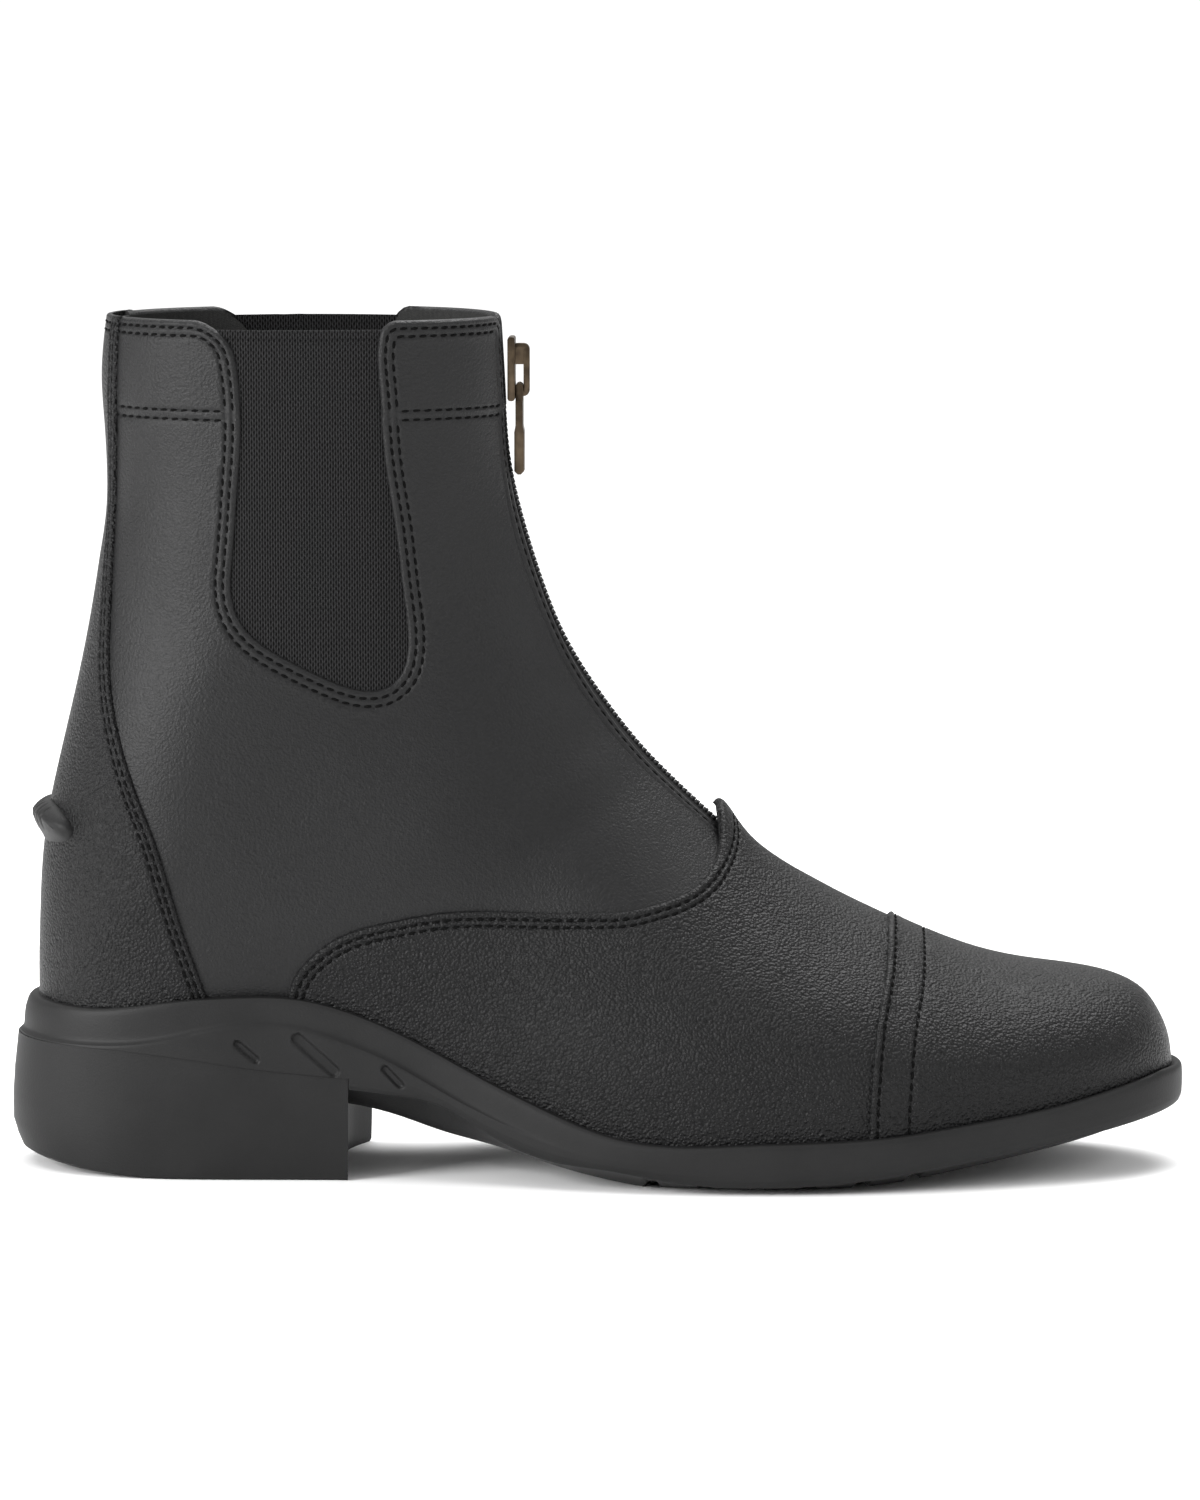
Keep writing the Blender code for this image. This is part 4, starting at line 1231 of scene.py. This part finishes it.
@dataclass
class Upper:
    """Leather panels of the boot, each its own shell over the last. Rows of stitches are in millimetres."""

    skin: BootSkin
    finishes: Finishes
    thread: Thread
    wall: float = 0.0020
    lap: float = 0.0040
    band_rows: tuple[float, float] = (187.2, 185.0)
    rim_rows: tuple[float, float] = (1.9, 3.8)
    counter_rows: tuple[float, float] = (1.5, 3.0)
    vamp_rows: tuple[float, float] = (2.0, 3.7)
    cap_rows: tuple[float, float] = (2.0, 9.7)
    # Widths along the cut edges that get the painted edge highlight
    edge_highlight: float = 0.00036
    counter_edge_highlight: float = 0.00013
    under: float = -0.0003
    clear: float = 0.0006
    groove_half: float = 0.00036
    flap_lift: float = 0.0032
    flap_reach: float = 0.0092
    elastic_top: float = 0.9895
    spur_pitch: float = 0.0024
    spur_grooves: int = 5
    nose_swell: float = 0.0010
    lining_pitch: float = 0.0030

    def relief(self, patch: Patch, **parts: Profile) -> np.ndarray:
        """Splits a panel where its profiles bend, and adds them up.

        Args:
            patch: The panel.
            parts: Profile over each field.

        Returns:
            Height at each corner.
        """
        for name, profile in parts.items():
            patch.split(name, *profile.levels())
        return sum(profile(patch[name]) for name, profile in parts.items())

    def overlay(self, patch: Patch, name: str, high: np.ndarray, low: Any, seam: str, node: str) -> None:
        """Closes a grained panel that lies over the quarters.

        Args:
            patch: The panel.
            name: Its name.
            high: Height of its outer face.
            low: Height of its inner face.
            seam: Field whose zero is its cut edge.
            node: Solid that it replaces.
        """
        # The cut edge within this width gets the third material, a lighter grey that paints its highlight
        wide = self.counter_edge_highlight if seam == "counter" else self.edge_highlight
        obj = patch.shell(name, high, low, patch[seam] < wide)
        dress(obj, Slot.LEATHER, self.finishes.pebbled, self.finishes.pebbled, self.finishes.edge, node=node)

    def quarters(self) -> None:
        """Shaft and sides of the foot, cut out for the elastics and the zip."""
        patch = self.skin.patch().keep("vamp", self.lap, False).keep("counter", self.lap, False).keep("rim")
        near, far = self.rim_rows
        rows = (*groove(near, 0.36, 0.10, 0.62), *groove(far, 0.36, 0.10, 0.62))
        edge = Profile((0, -0.85), (0.12, -0.42), (0.35, -0.12), (0.7, 0.04), (1.1, 0.10), *rows, (6.0, 0.0))
        patch.split("rim", *edge.levels())
        shifts = (-0.6, -0.25, 0, 0.25, 0.6)
        patch.split("up", *(row * MM + shift * MM for row in self.band_rows for shift in shifts))
        high, up = edge(patch["rim"]), patch["up"]
        free = (patch["rim"] > far * MM + self.clear) & (patch["counter"] < 0)
        for row in self.band_rows:
            high = high - np.where(free, np.exp(-(((up - row * MM) / self.groove_half) ** 2)) * 0.00034, 0)
        fold = smooth_step(0, 0.0006, up - sum(self.band_rows) / 2 * MM) * 0.00022
        high = high + np.where(patch["rim"] > 0.0004, fold, 0)
        inner, lap = Profile((0, 1.05), (0.3, 0.5), (0.8, 0.0)), Profile((0, 1.3), (5.2, 1.3), (6.2, 0))
        low = np.minimum(np.maximum(inner(patch["rim"]), lap(patch["gore"])) - self.wall, high - 0.0001)
        clear = (patch["counter"] < -self.clear) & (patch["vamp"] < -self.clear)
        self.thread.follow(patch, high, "rim", [near], clear)
        self.thread.follow(patch, high, "rim", [far], clear & (patch["slot"] > (far + 0.4) * MM))
        clear = clear & (patch["gore"] > 0.0044) & (patch["slot"] > 0.0026)
        self.thread.follow(patch, high, "up", self.band_rows, clear)
        # The rim's cut edge gets the lighter grey that paints its highlight
        obj = patch.shell("quarters", high, low, patch["rim"] < self.edge_highlight)
        dress(obj, Slot.LEATHER, self.finishes.smooth, self.finishes.lining, self.finishes.edge, node="upper")

    def lining(self) -> None:
        """Textile inside the whole foot, below the collar."""
        patch = BootSkin(self.skin.last, self.lining_pitch).patch().keep("rim", 0.0009)
        obj = patch.shell("lining", 0.0004 - self.wall, -0.0001 - self.wall)
        dress(obj, Slot.LINING, self.finishes.lining, self.finishes.lining)

    def counter(self) -> None:
        """Back stay and heel counter in one panel."""
        patch = self.skin.patch().keep("counter")
        rows = [step for row in self.counter_rows for step in groove(row, 0.38, 1.12, 0.6)]
        edge = Profile((0, 0.25), (0.12, 0.72), (0.35, 0.98), (0.7, 1.10), *rows, (5.0, 1.05))
        rows = [step for row in self.rim_rows for step in groove(row, 0.25)]
        collar = Profile((0, -0.7), (0.15, -0.28), (0.40, -0.06), (0.7, 0), *rows)
        high = self.relief(patch, counter=edge, collar=collar)
        self.thread.follow(patch, high, "counter", self.counter_rows, patch["collar"] > 0.0010)
        self.thread.follow(patch, high, "collar", self.rim_rows, patch["counter"] > 0.0036)
        self.overlay(patch, "heel_counter", high, self.under, "counter", "counter")

    def vamp(self) -> None:
        """Front of the foot, with wings along the sole and a raised point over the zip's end."""
        patch = self.skin.patch().keep("vamp").keep("cap", self.lap, False)
        edge = Profile((0, 0.30), (0.12, 0.85), (0.35, 1.18), (0.8, 1.32), (1.6, 1.26), (6.0, 1.10))
        rows = Profile((0, 0), *(step for row in self.vamp_rows for step in groove(row, 0.38, 0, 0.62)))
        high = self.relief(patch, vamp=edge, vamp_row=rows)
        last = self.skin.last
        tip = np.array([last.place_x(0.597), 0.0, last.height * 0.415])
        away = np.linalg.norm((patch.place - tip) * [1, 0.75, 1], axis=1)
        lift = self.flap_lift * np.exp(-((away / self.flap_reach) ** 2))
        self.thread.follow(patch, high + lift, "vamp_row", self.vamp_rows)
        self.overlay(patch, "vamp_panel", high + lift, self.under + lift * 0.8, "vamp", "vamp")

    def toe_cap(self) -> None:
        """Toe cap with a folded back edge."""
        patch = self.skin.patch().keep("cap")
        first, second = self.cap_rows
        edge = Profile(
            (0, 0.70), (0.12, 1.45), (0.35, 1.95), (0.8, 2.20), (1.2, 2.15),
            *groove(first, 0.40, 2.00), (4.0, 1.85), *groove(second, 0.38, 1.80, 0.62), (14.0, 1.75),
        )
        high = self.relief(patch, cap=edge)
        high = high + self.nose_swell * smooth_step(0.190, 0.236, patch.place[:, 0])
        self.thread.follow(patch, high, "cap", self.cap_rows)
        self.overlay(patch, "toe_cap_panel", high, 0.0005, "cap", "toe_cap")

    def spur_rest(self) -> None:
        """Small grooved ledge across the back of the counter."""
        patch = self.skin.patch().keep("spur")
        edge = Profile((0, 0.7), (0.15, 1.6), (0.4, 2.4), (0.8, 3.1), (1.4, 3.8), (2.2, 4.5), (3.2, 5.0))
        rows = range(-self.spur_grooves, self.spur_grooves + 1)
        shifts = (-0.35 * MM, 0.0, 0.35 * MM)
        patch.split("across", *(row * self.spur_pitch + shift for row in rows for shift in shifts))
        high = self.relief(patch, spur=edge) * (0.38 + 0.62 * smooth_step(0.0800, 0.0865, patch["up"]))
        across = patch["across"] / self.spur_pitch
        wave = np.abs(across - np.round(across)) * self.spur_pitch
        top = smooth_step(0.0835, 0.0855, patch["up"]) * (patch["spur"] > self.clear)
        top = top * (np.abs(across) < self.spur_grooves + 0.5)
        high = high - 0.0006 * np.clip(1 - wave / self.groove_half, 0, 1) * top
        obj = patch.shell("spur_ledge", high, 0.0006)
        dress(obj, Slot.RUBBER, self.finishes.rubber, self.finishes.rubber, node="spur_rest")

    def elastic(self, name: str, side: int) -> None:
        """One elastic panel, whose edges run under the leather.

        Args:
            name: Name of the solid that it replaces.
            side: -1 on the outer side and 1 on the inner side.
        """
        patch = self.skin.patch().keep("gore", 0.0050, False)
        patch.faces = [face for face in patch.faces if side * patch.place[face[0], 1] > 0]
        top = self.skin.last.height * self.elastic_top
        patch.keep("up", 0.10).keep("up", top, False)
        bound = Profile(
            (0, -0.35), (0.3, 0.02), (0.9, 0.14), (1.6, 0.12), (2.0, 0.0), (2.3, -0.22), (2.7, 0.0)
        )
        patch.split("up", *(top - bound.levels())).split("gore", 0.0, -0.0006, -0.0015)
        high = -0.00075 + 0.00035 * smooth_step(0.0, 0.008, -patch["gore"]) + bound(top - patch["up"])
        obj = patch.shell(f"{name}_elastic", high, -0.00155)
        dress(obj, Slot.ELASTIC, self.finishes.elastic, self.finishes.elastic, node=name)

    def build(self) -> None:
        """Builds every panel."""
        self.quarters()
        self.lining()
        self.counter()
        self.vamp()
        self.toe_cap()
        self.spur_rest()
        self.elastic("gore_outer", -1)
        self.elastic("gore_inner", 1)


def stack(name: str, levels: list[tuple[np.ndarray, Any]], sharp: float = 32) -> Piece:
    """Closed solid from rings, bottom to top.

    Args:
        name: Name of the object.
        levels: Plan points and heights of each ring.
        sharp: Angle in degrees above which an edge stays sharp.

    Returns:
        The object.
    """
    count = len(levels[0][0])
    places = [np.column_stack([plan, np.broadcast_to(height, count)]) for plan, height in levels]
    strips = [(i, i + 1, (count - i - 1) % count, (count - i) % count) for i in range(count // 2)]
    strips = [tuple(dict.fromkeys(strip)) for strip in strips]
    top = (len(levels) - 1) * count
    faces = tube(len(levels), count)[1:-1] + [strip[::-1] for strip in strips]
    faces += [tuple(i + top for i in strip) for strip in strips]
    return mesh_piece(name, np.vstack(places), faces, sharp, closed=True)


def cut(obj: Piece, cutter: Piece, operation: str) -> None:
    """Applies a Boolean and removes its cutter.

    Args:
        obj: The piece that changes.
        cutter: The other solid.
        operation: The Boolean's operation.
    """
    modifier = obj.modifiers.new(operation, "BOOLEAN")
    modifier.operation = operation
    modifier.object = cutter
    modifier.solver = "EXACT"
    depsgraph = bpy.context.evaluated_depsgraph_get()
    data = bpy.data.meshes.new_from_object(obj.evaluated_get(depsgraph))
    obj.modifiers.clear()
    obj.data = data
    bpy.data.objects.remove(cutter)
    shade(data, 32)


@dataclass
class Zip:
    """Front zip: tape, teeth, slider and pull."""

    skin: BootSkin
    finishes: Finishes
    tooth_pitch: float = 0.00140
    tooth_depth: float = 0.00125
    chain_half: float = 0.0021
    metal_round: float = 0.00022
    head_half: float = 0.0009

    def sunk(self, height: Any) -> Any:
        """How much deeper the zip lies near its upper end."""
        return 0.0006 * smooth_step(0.100, 0.135, height)

    def tape(self) -> None:
        """Woven tape behind the chain."""
        patch = self.skin.patch().keep("slot", 0.0020, False).keep("up", 0.082).keep("collar", 0.0008)
        high = -0.00055 - self.sunk(patch.split("slot", -0.0022, -0.0012, 0.0)["up"])
        obj = patch.shell("zip_cloth", high, high - 0.0009)
        dress(obj, Slot.ELASTIC, self.finishes.tape, self.finishes.tape, node="zip_tape")

    def teeth(self) -> None:
        """Closed chain of teeth, laid turn by turn from both sides."""
        front = self.skin.last.front
        reach = path_length(front)
        low, high = (reach[np.argmin(np.abs(front[:, 1] - end))] for end in (0.0850, 0.2060))
        wanted = np.arange(low, high, self.tooth_pitch / 2)
        ahead = unit(resample(front, reach, wanted + 0.0005) - resample(front, reach, wanted - 0.0005))
        places, faces = [], []
        for i, ((x, z), (tx, tz)) in enumerate(zip(resample(front, reach, wanted), ahead)):
            along, out = np.array([tx, 0, tz]), np.array([tz, 0, -tx])
            centre = np.array([x, 0, z]) - out * (0.0009 + self.sunk(z))
            faces += [tuple(j + len(places) for j in face) for face in tube(3, 4)]
            for share, half, rise in ((0.0, 0.26, 0.80), (0.55, 0.34, 1.0), (1.0, 0.24, 0.55)):
                y = (1 if i % 2 else -1) * (share * self.chain_half - 0.0004)
                for a, o in ((-half, 0), (half, 0), (half * 0.7, rise), (-half * 0.7, rise)):
                    spot = centre + along * (a * self.tooth_pitch) + out * (o * self.tooth_depth)
                    places.append(spot + (0, y, 0))
        obj = mesh_piece("zip_teeth", places, faces, closed=True)
        obj.data.shade_flat()
        dress(obj, Slot.ELASTIC, self.finishes.coil)

    def metal_part(self, node: Piece, body: Body, *extra: Piece) -> None:
        """Rounds the edges of a packed metal solid.

        Args:
            node: The solid.
            body: Body that it rides on.
            extra: Solids that are joined to it.
        """
        obj = link(f"{node.name}_cast", node.data.copy())
        obj.data.transform(node.matrix_world)
        for solid in extra:
            cut(obj, solid, "UNION")
        mesh = bmesh.new()
        mesh.from_mesh(obj.data)
        bmesh.ops.remove_doubles(mesh, verts=mesh.verts, dist=1e-6)
        bmesh.ops.dissolve_limit(mesh, angle_limit=math.radians(2), verts=mesh.verts, edges=mesh.edges)
        angle = math.radians(38)
        sharp = [edge for edge in mesh.edges if edge.is_manifold and edge.calc_face_angle() > angle]
        bevel = {"offset": self.metal_round, "segments": 2, "profile": 0.5, "affect": "EDGES"}
        bmesh.ops.bevel(mesh, geom=sharp, clamp_overlap=True, **bevel)
        mesh.to_mesh(obj.data)
        mesh.free()
        shade(obj.data, 35)
        dress(obj, Slot.METAL, self.finishes.metal, body=body, node=node.name)

    def bridge_head(self) -> Piece:
        """Solid head of the slider's bridge, above the window that the pull hangs in.

        Returns:
            A box inside the bridge's outline.
        """
        low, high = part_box("zip_slider")
        half = self.head_half
        back, front = low[0] + half, high[0] - half
        plan = np.array([(back, -half), (front, -half), (front, half), (back, half)])
        return stack("bridge_head", [(plan, high[2] - 0.0068), (plan, high[2] - 0.0022)])

    def build(self, nodes: dict[str, Piece]) -> None:
        """Builds the zip and finishes its packed slider and pull.

        Args:
            nodes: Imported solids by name.
        """
        self.tape()
        self.teeth()
        self.metal_part(nodes["zip_slider"], Body.BOOT, self.bridge_head())
        self.metal_part(nodes["zip_pull"], Body.PULL)


@dataclass
class Sole:
    """Moulded sole unit, heel block and footbed."""

    last: Last
    finishes: Finishes
    rim: float = 0.0030
    bed_drop: float = 0.0070
    tread_inset: float = 0.0075
    groove_width: float = 0.0032
    groove_depth: float = 0.0014
    groove_pitch: float = 0.0125
    mark_depth: float = 0.0009
    toe_rim: float = 0.0014
    toe_rise: float = 0.0013
    wall: float = 0.0022
    insole: float = 0.0025
    clearance: float = 0.0003
    space_steps: int = 14
    space_floor: float = -0.05

    def __post_init__(self) -> None:
        """Turns the tables into height curves, and sets the steps round the foot."""
        self.edge = self.last.height_curve(UNDERSIDE, "edge")
        self.tread = self.last.height_curve(UNDERSIDE, "tread")
        self.band = self.last.height_curve(BAND_LINE, "up")
        ends, counts = turn([0, 0.03, 0.17, 0.34, 0.54, 0.82, 0.97, 1]), (20, 60, 150, 60, 170, 60, 24)
        parts = [np.linspace(a, b, count, endpoint=False) for a, b, count in zip(ends, ends[1:], counts)]
        self.angles = np.concatenate([*parts, [math.pi]])

    def rim_out(self, heel: float, fore: float) -> Callable[[np.ndarray], np.ndarray]:
        """Distance out from the upper, wider at the toe.

        Args:
            heel: Width of the rim at the heel, as a share of its size.
            fore: The same at the forefoot.

        Returns:
            The distance as a function of the share along the foot.
        """
        return lambda along: (
            self.rim * (heel + (fore - heel) * smooth_step(0.33, 0.50, along))
            + self.toe_rim * smooth_step(0.86, 0.99, along)
        )

    def bed(self, along: Any) -> Any:
        """Height of the sole's top inside the upper."""
        drop = self.bed_drop * (1 - smooth_step(0.22, 0.50, along))
        return self.last.edge_height(along) - self.clearance - drop

    def tread_height(self, plan: np.ndarray) -> np.ndarray:
        """Height of the underside, with its cross grooves.

        Args:
            plan: Plan points.

        Returns:
            One height for each point.
        """
        x, width, pitch = plan[:, 0], self.groove_width, self.groove_pitch
        first, last = self.last.place_x(0.55), self.last.place_x(0.80)
        phase = (x - first + pitch / 2) % pitch - pitch / 2
        wall = 1 - smooth_step(width / 2 - 0.0002, width / 2 + 0.0002, np.abs(phase))
        within = (x > first - width) & (x < last + width)
        return np.maximum(self.tread(self.last.share_x(x)), 0) + np.where(within, wall * self.groove_depth, 0)

    def at(self, plan: np.ndarray, curve: Callable[[Any], Any]) -> np.ndarray:
        """Heights of a curve over plan points."""
        return curve(np.clip(self.last.share_x(plan[:, 0]), 0, 1))

    def marked(self, plan: np.ndarray, heights: np.ndarray) -> np.ndarray:
        """Presses the moulded marks into a ring of the sole's side.

        Args:
            plan: Plan points of the ring.
            heights: Their heights.

        Returns:
            The plan points, moved in where a mark is.
        """
        flat = np.column_stack([plan[:, 0], heights])
        press = np.zeros(len(plan))
        for *ends, half in zip(*SIDE_MARKS.values()):
            away = distance_to(flat, np.reshape(ends, (2, 2)), [True])
            press = np.maximum(press, 1 - smooth_step(half - 0.0003, half + 0.0004, away))
        return plan - np.column_stack([np.zeros(len(plan)), np.sign(plan[:, 1]) * press * self.mark_depth])

    def side(self, rows: Table, upper: bool, extra: int) -> Iterator[tuple[np.ndarray, np.ndarray]]:
        """Rings of the sole's side.

        Args:
            rows: Their table.
            upper: Whether they lie above the raised line.
            extra: How many even steps are added to the table's own, to carry the marks.

        Returns:
            Plan points and heights of each ring.
        """
        known = rows["level"]
        fine = np.unique(np.concatenate([known, np.linspace(known[0], known[-1], extra)]))
        columns = (np.interp(fine, known, rows[name]) for name in ("heel", "fore", "back"))
        for level, heel, fore, back in zip(fine, *columns):
            plan, along = self.last.ring(self.rim_out(heel, fore), self.angles, back)
            lip = 0.0002 + self.toe_rise * smooth_step(0.86, 0.99, along)
            low, high = self.edge(along), self.band(along)
            if upper:
                low, high = high, self.at(plan, self.last.edge_height) + lip
            heights = low + (high - low) * level
            yield self.marked(plan, heights), heights

    def cup(self) -> None:
        """Cup, raised line, marks and grooved tread."""
        levels = []
        for inward, share in ((self.tread_inset, 0.0), (self.tread_inset * 0.5, 0.3)):
            plan, along = self.last.ring(-inward, self.angles)
            flat = self.tread_height(plan)
            levels.append((plan, flat + (self.edge(along) - flat) * share))
        levels += [*self.side(LOWER_SIDE, False, 34), *self.side(UPPER_SIDE, True, 4)]
        ledge = self.wall + 2 * self.clearance
        for out, lift in ((0.0004, 0.0002), (-ledge, 0.0)):
            plan, _ = self.last.ring(out, self.angles)
            levels.append((plan, self.at(plan, self.last.edge_height) + lift))
        plan, _ = self.last.ring(-ledge - self.clearance, self.angles)
        levels.append((plan, self.at(plan, self.bed) - self.clearance))
        obj = stack("sole_unit", levels)
        cut(obj, self.heel_space(0.0), "DIFFERENCE")
        dress(obj, Slot.RUBBER, self.finishes.rubber, node="sole")

    def heel_space(self, clearance: float) -> Piece:
        """Space of the heel block: behind the breast and below its top line.

        Args:
            clearance: Gap left to the sole.

        Returns:
            The cutter.
        """
        last, steps = self.last, self.space_steps
        along, up = HEEL_TOP.values()
        roof = smooth_line(last.place_x(along), up * last.cup_height - clearance, spans(1))
        across, along = BREAST.values()
        breast = smooth_line(across * last.ball_width, last.place_x(along) - clearance, spans(6))
        levels = []
        for y, front in breast:
            xs = np.append(roof[roof[:, 0] < front - 1e-6, 0], front)
            xs = np.interp(np.linspace(0, 1, steps), np.linspace(0, 1, len(xs)), xs)
            plan = np.column_stack([np.append(xs, xs[::-1]), np.full(2 * steps, y)])
            levels.append((plan, np.append(np.interp(xs, *roof.T), np.full(steps, self.space_floor))))
        return stack("heel_space", levels)

    def heel(self) -> None:
        """Heel block with a flared back and a hollowed breast."""
        last, half = self.last, turn(0.5)
        angle = np.concatenate([np.linspace(0, half, 220, endpoint=False), np.linspace(half, math.pi, 20)])
        levels = []
        for level, out, back in zip(*HEEL_SIDE.values()):
            plan, along = last.ring(self.rim * out, angle, last.heel_ledge * (0.4 + 3 * back))
            ends = (HEEL_BOTTOM, HEEL_TOP)
            low, top = (np.interp(along, *rows.values()) * last.cup_height for rows in ends)
            levels.append((plan, low + (top - low) * level))
        obj = stack("heel_block", levels)
        cut(obj, self.heel_space(self.clearance / 3), "INTERSECT")
        dress(obj, Slot.RUBBER, self.finishes.rubber, node="heel")

    def footbed(self) -> None:
        """Soft footbed, slightly dished, with a rounded edge."""
        gap = self.wall + 3 * self.clearance
        levels = []
        rings = ((0.0, 0.0), (0.0, 0.7), (0.0004, 0.9), (0.0010, 1.0), (0.006, 1.0), (0.014, 0.86))
        for inward, share in rings:
            plan, _ = self.last.ring(-gap - inward, np.linspace(0, math.pi, 161))
            levels.append((plan, self.at(plan, self.bed) + self.insole * share))
        dress(stack("footbed", levels, 60), Slot.LINING, self.finishes.lining, node="insole")

    def build(self) -> None:
        """Builds the sole's pieces."""
        self.cup()
        self.heel()
        self.footbed()


def aim(name: str, data: bpy.types.ID, place: Any, target: Any) -> Piece:
    """Puts a lamp or the camera into the scene.

    Args:
        name: Name of the object.
        data: The lamp or camera.
        place: Where it stands.
        target: Point that it looks at.

    Returns:
        The object.
    """
    obj = link(name, data)
    obj.location = place
    obj.rotation_euler = (Vector(target) - Vector(place)).to_track_quat("-Z", "Y").to_euler()
    return obj


@dataclass(frozen=True)
class Lamp:
    """Soft studio light."""

    name: str
    place: tuple[float, float, float]
    size: float
    power: float


@dataclass
class Studio:
    """White floor, soft light and the camera at the photograph's angle."""

    target: tuple[float, float, float] = (0.1026, 0.0, 0.1020)
    eye: tuple[float, float, float] = (0.1677, -1.8652, 0.3279)
    lens: float = 184.0
    sky: float = 0.64
    sun_power: float = 1.85
    floor_half: float = 30.0
    lamps: tuple[Lamp, ...] = (
        Lamp("left_light", (-1.30, -0.95, 0.62), 0.8, 38.0),
        Lamp("top_light", (0.30, 0.62, 1.35), 1.0, 17.0),
        Lamp("front_light", (-0.60, -1.20, 1.15), 0.8, 3.0),
        Lamp("toe_light", (1.35, -0.55, 0.85), 0.6, 6.0),
    )

    def camera(self) -> None:
        """Adds the camera."""
        data = bpy.data.cameras.new("camera")
        data.sensor_width = 36.0
        data.lens = self.lens
        data.clip_end = 50.0
        bpy.context.scene.camera = aim("camera", data, self.eye, self.target)

    def floor(self) -> None:
        """Adds a wide white floor."""
        half = self.floor_half
        places = [(-half, -half, 0), (half, -half, 0), (half, half, 0), (-half, half, 0)]
        obj = mesh_piece("floor", places, [(0, 1, 2, 3)])
        paint = Paint("studio_floor")
        colour = paint.tint(paint.noise(paint.place(), 2.0, 1), (0.92, 0.92, 0.92), (0.94, 0.94, 0.94))
        obj.data.materials.append(paint.close(Base_Color=colour, Roughness=0.9))
        obj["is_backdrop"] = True

    def light(self) -> None:
        """Adds the lamps and an even pale sky."""
        for lamp in self.lamps:
            data = bpy.data.lights.new(lamp.name, "AREA")
            data.shape = "SQUARE"
            data.size = lamp.size
            data.energy = lamp.power
            aim(lamp.name, data, lamp.place, self.target)
        data = bpy.data.lights.new("wide_light", "SUN")
        data.energy = self.sun_power
        data.angle = math.radians(70)
        aim("wide_light", data, (0, 0, 0), (0.12, -0.25, -1.0))
        world = bpy.data.worlds.new("studio_sky")
        world.use_nodes = True
        sky = world.node_tree.nodes["Background"]
        sky.inputs["Color"].default_value = (1, 1, 1, 1)
        sky.inputs["Strength"].default_value = self.sky
        bpy.context.scene.world = world

    def build(self) -> None:
        """Builds the studio."""
        self.camera()
        self.floor()
        self.light()
        bpy.context.scene.view_settings.view_transform = "Standard"


def corners() -> list[list[float]]:
    """Corners of the whole object's box, as plain numbers."""
    return [[float(value) for value in corner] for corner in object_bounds()]


def main() -> None:
    """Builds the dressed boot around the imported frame."""
    logging.basicConfig(level=logging.INFO, format="%(message)s")
    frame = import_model()
    Studio().build()
    finishes = Finishes()
    last = Last()
    skin = BootSkin(last)
    LOG.info("grid: %d corners, %d faces", len(skin.places), len(skin.faces))
    thread = Thread()
    Upper(skin, finishes, thread).build()
    Zip(skin, finishes).build(frame["nodes"])
    Sole(last, finishes).build()
    dress(thread.build("stitching"), Slot.LEATHER, finishes.thread)
    bpy.context.view_layer.update()


if __name__ == "__main__":
    main()
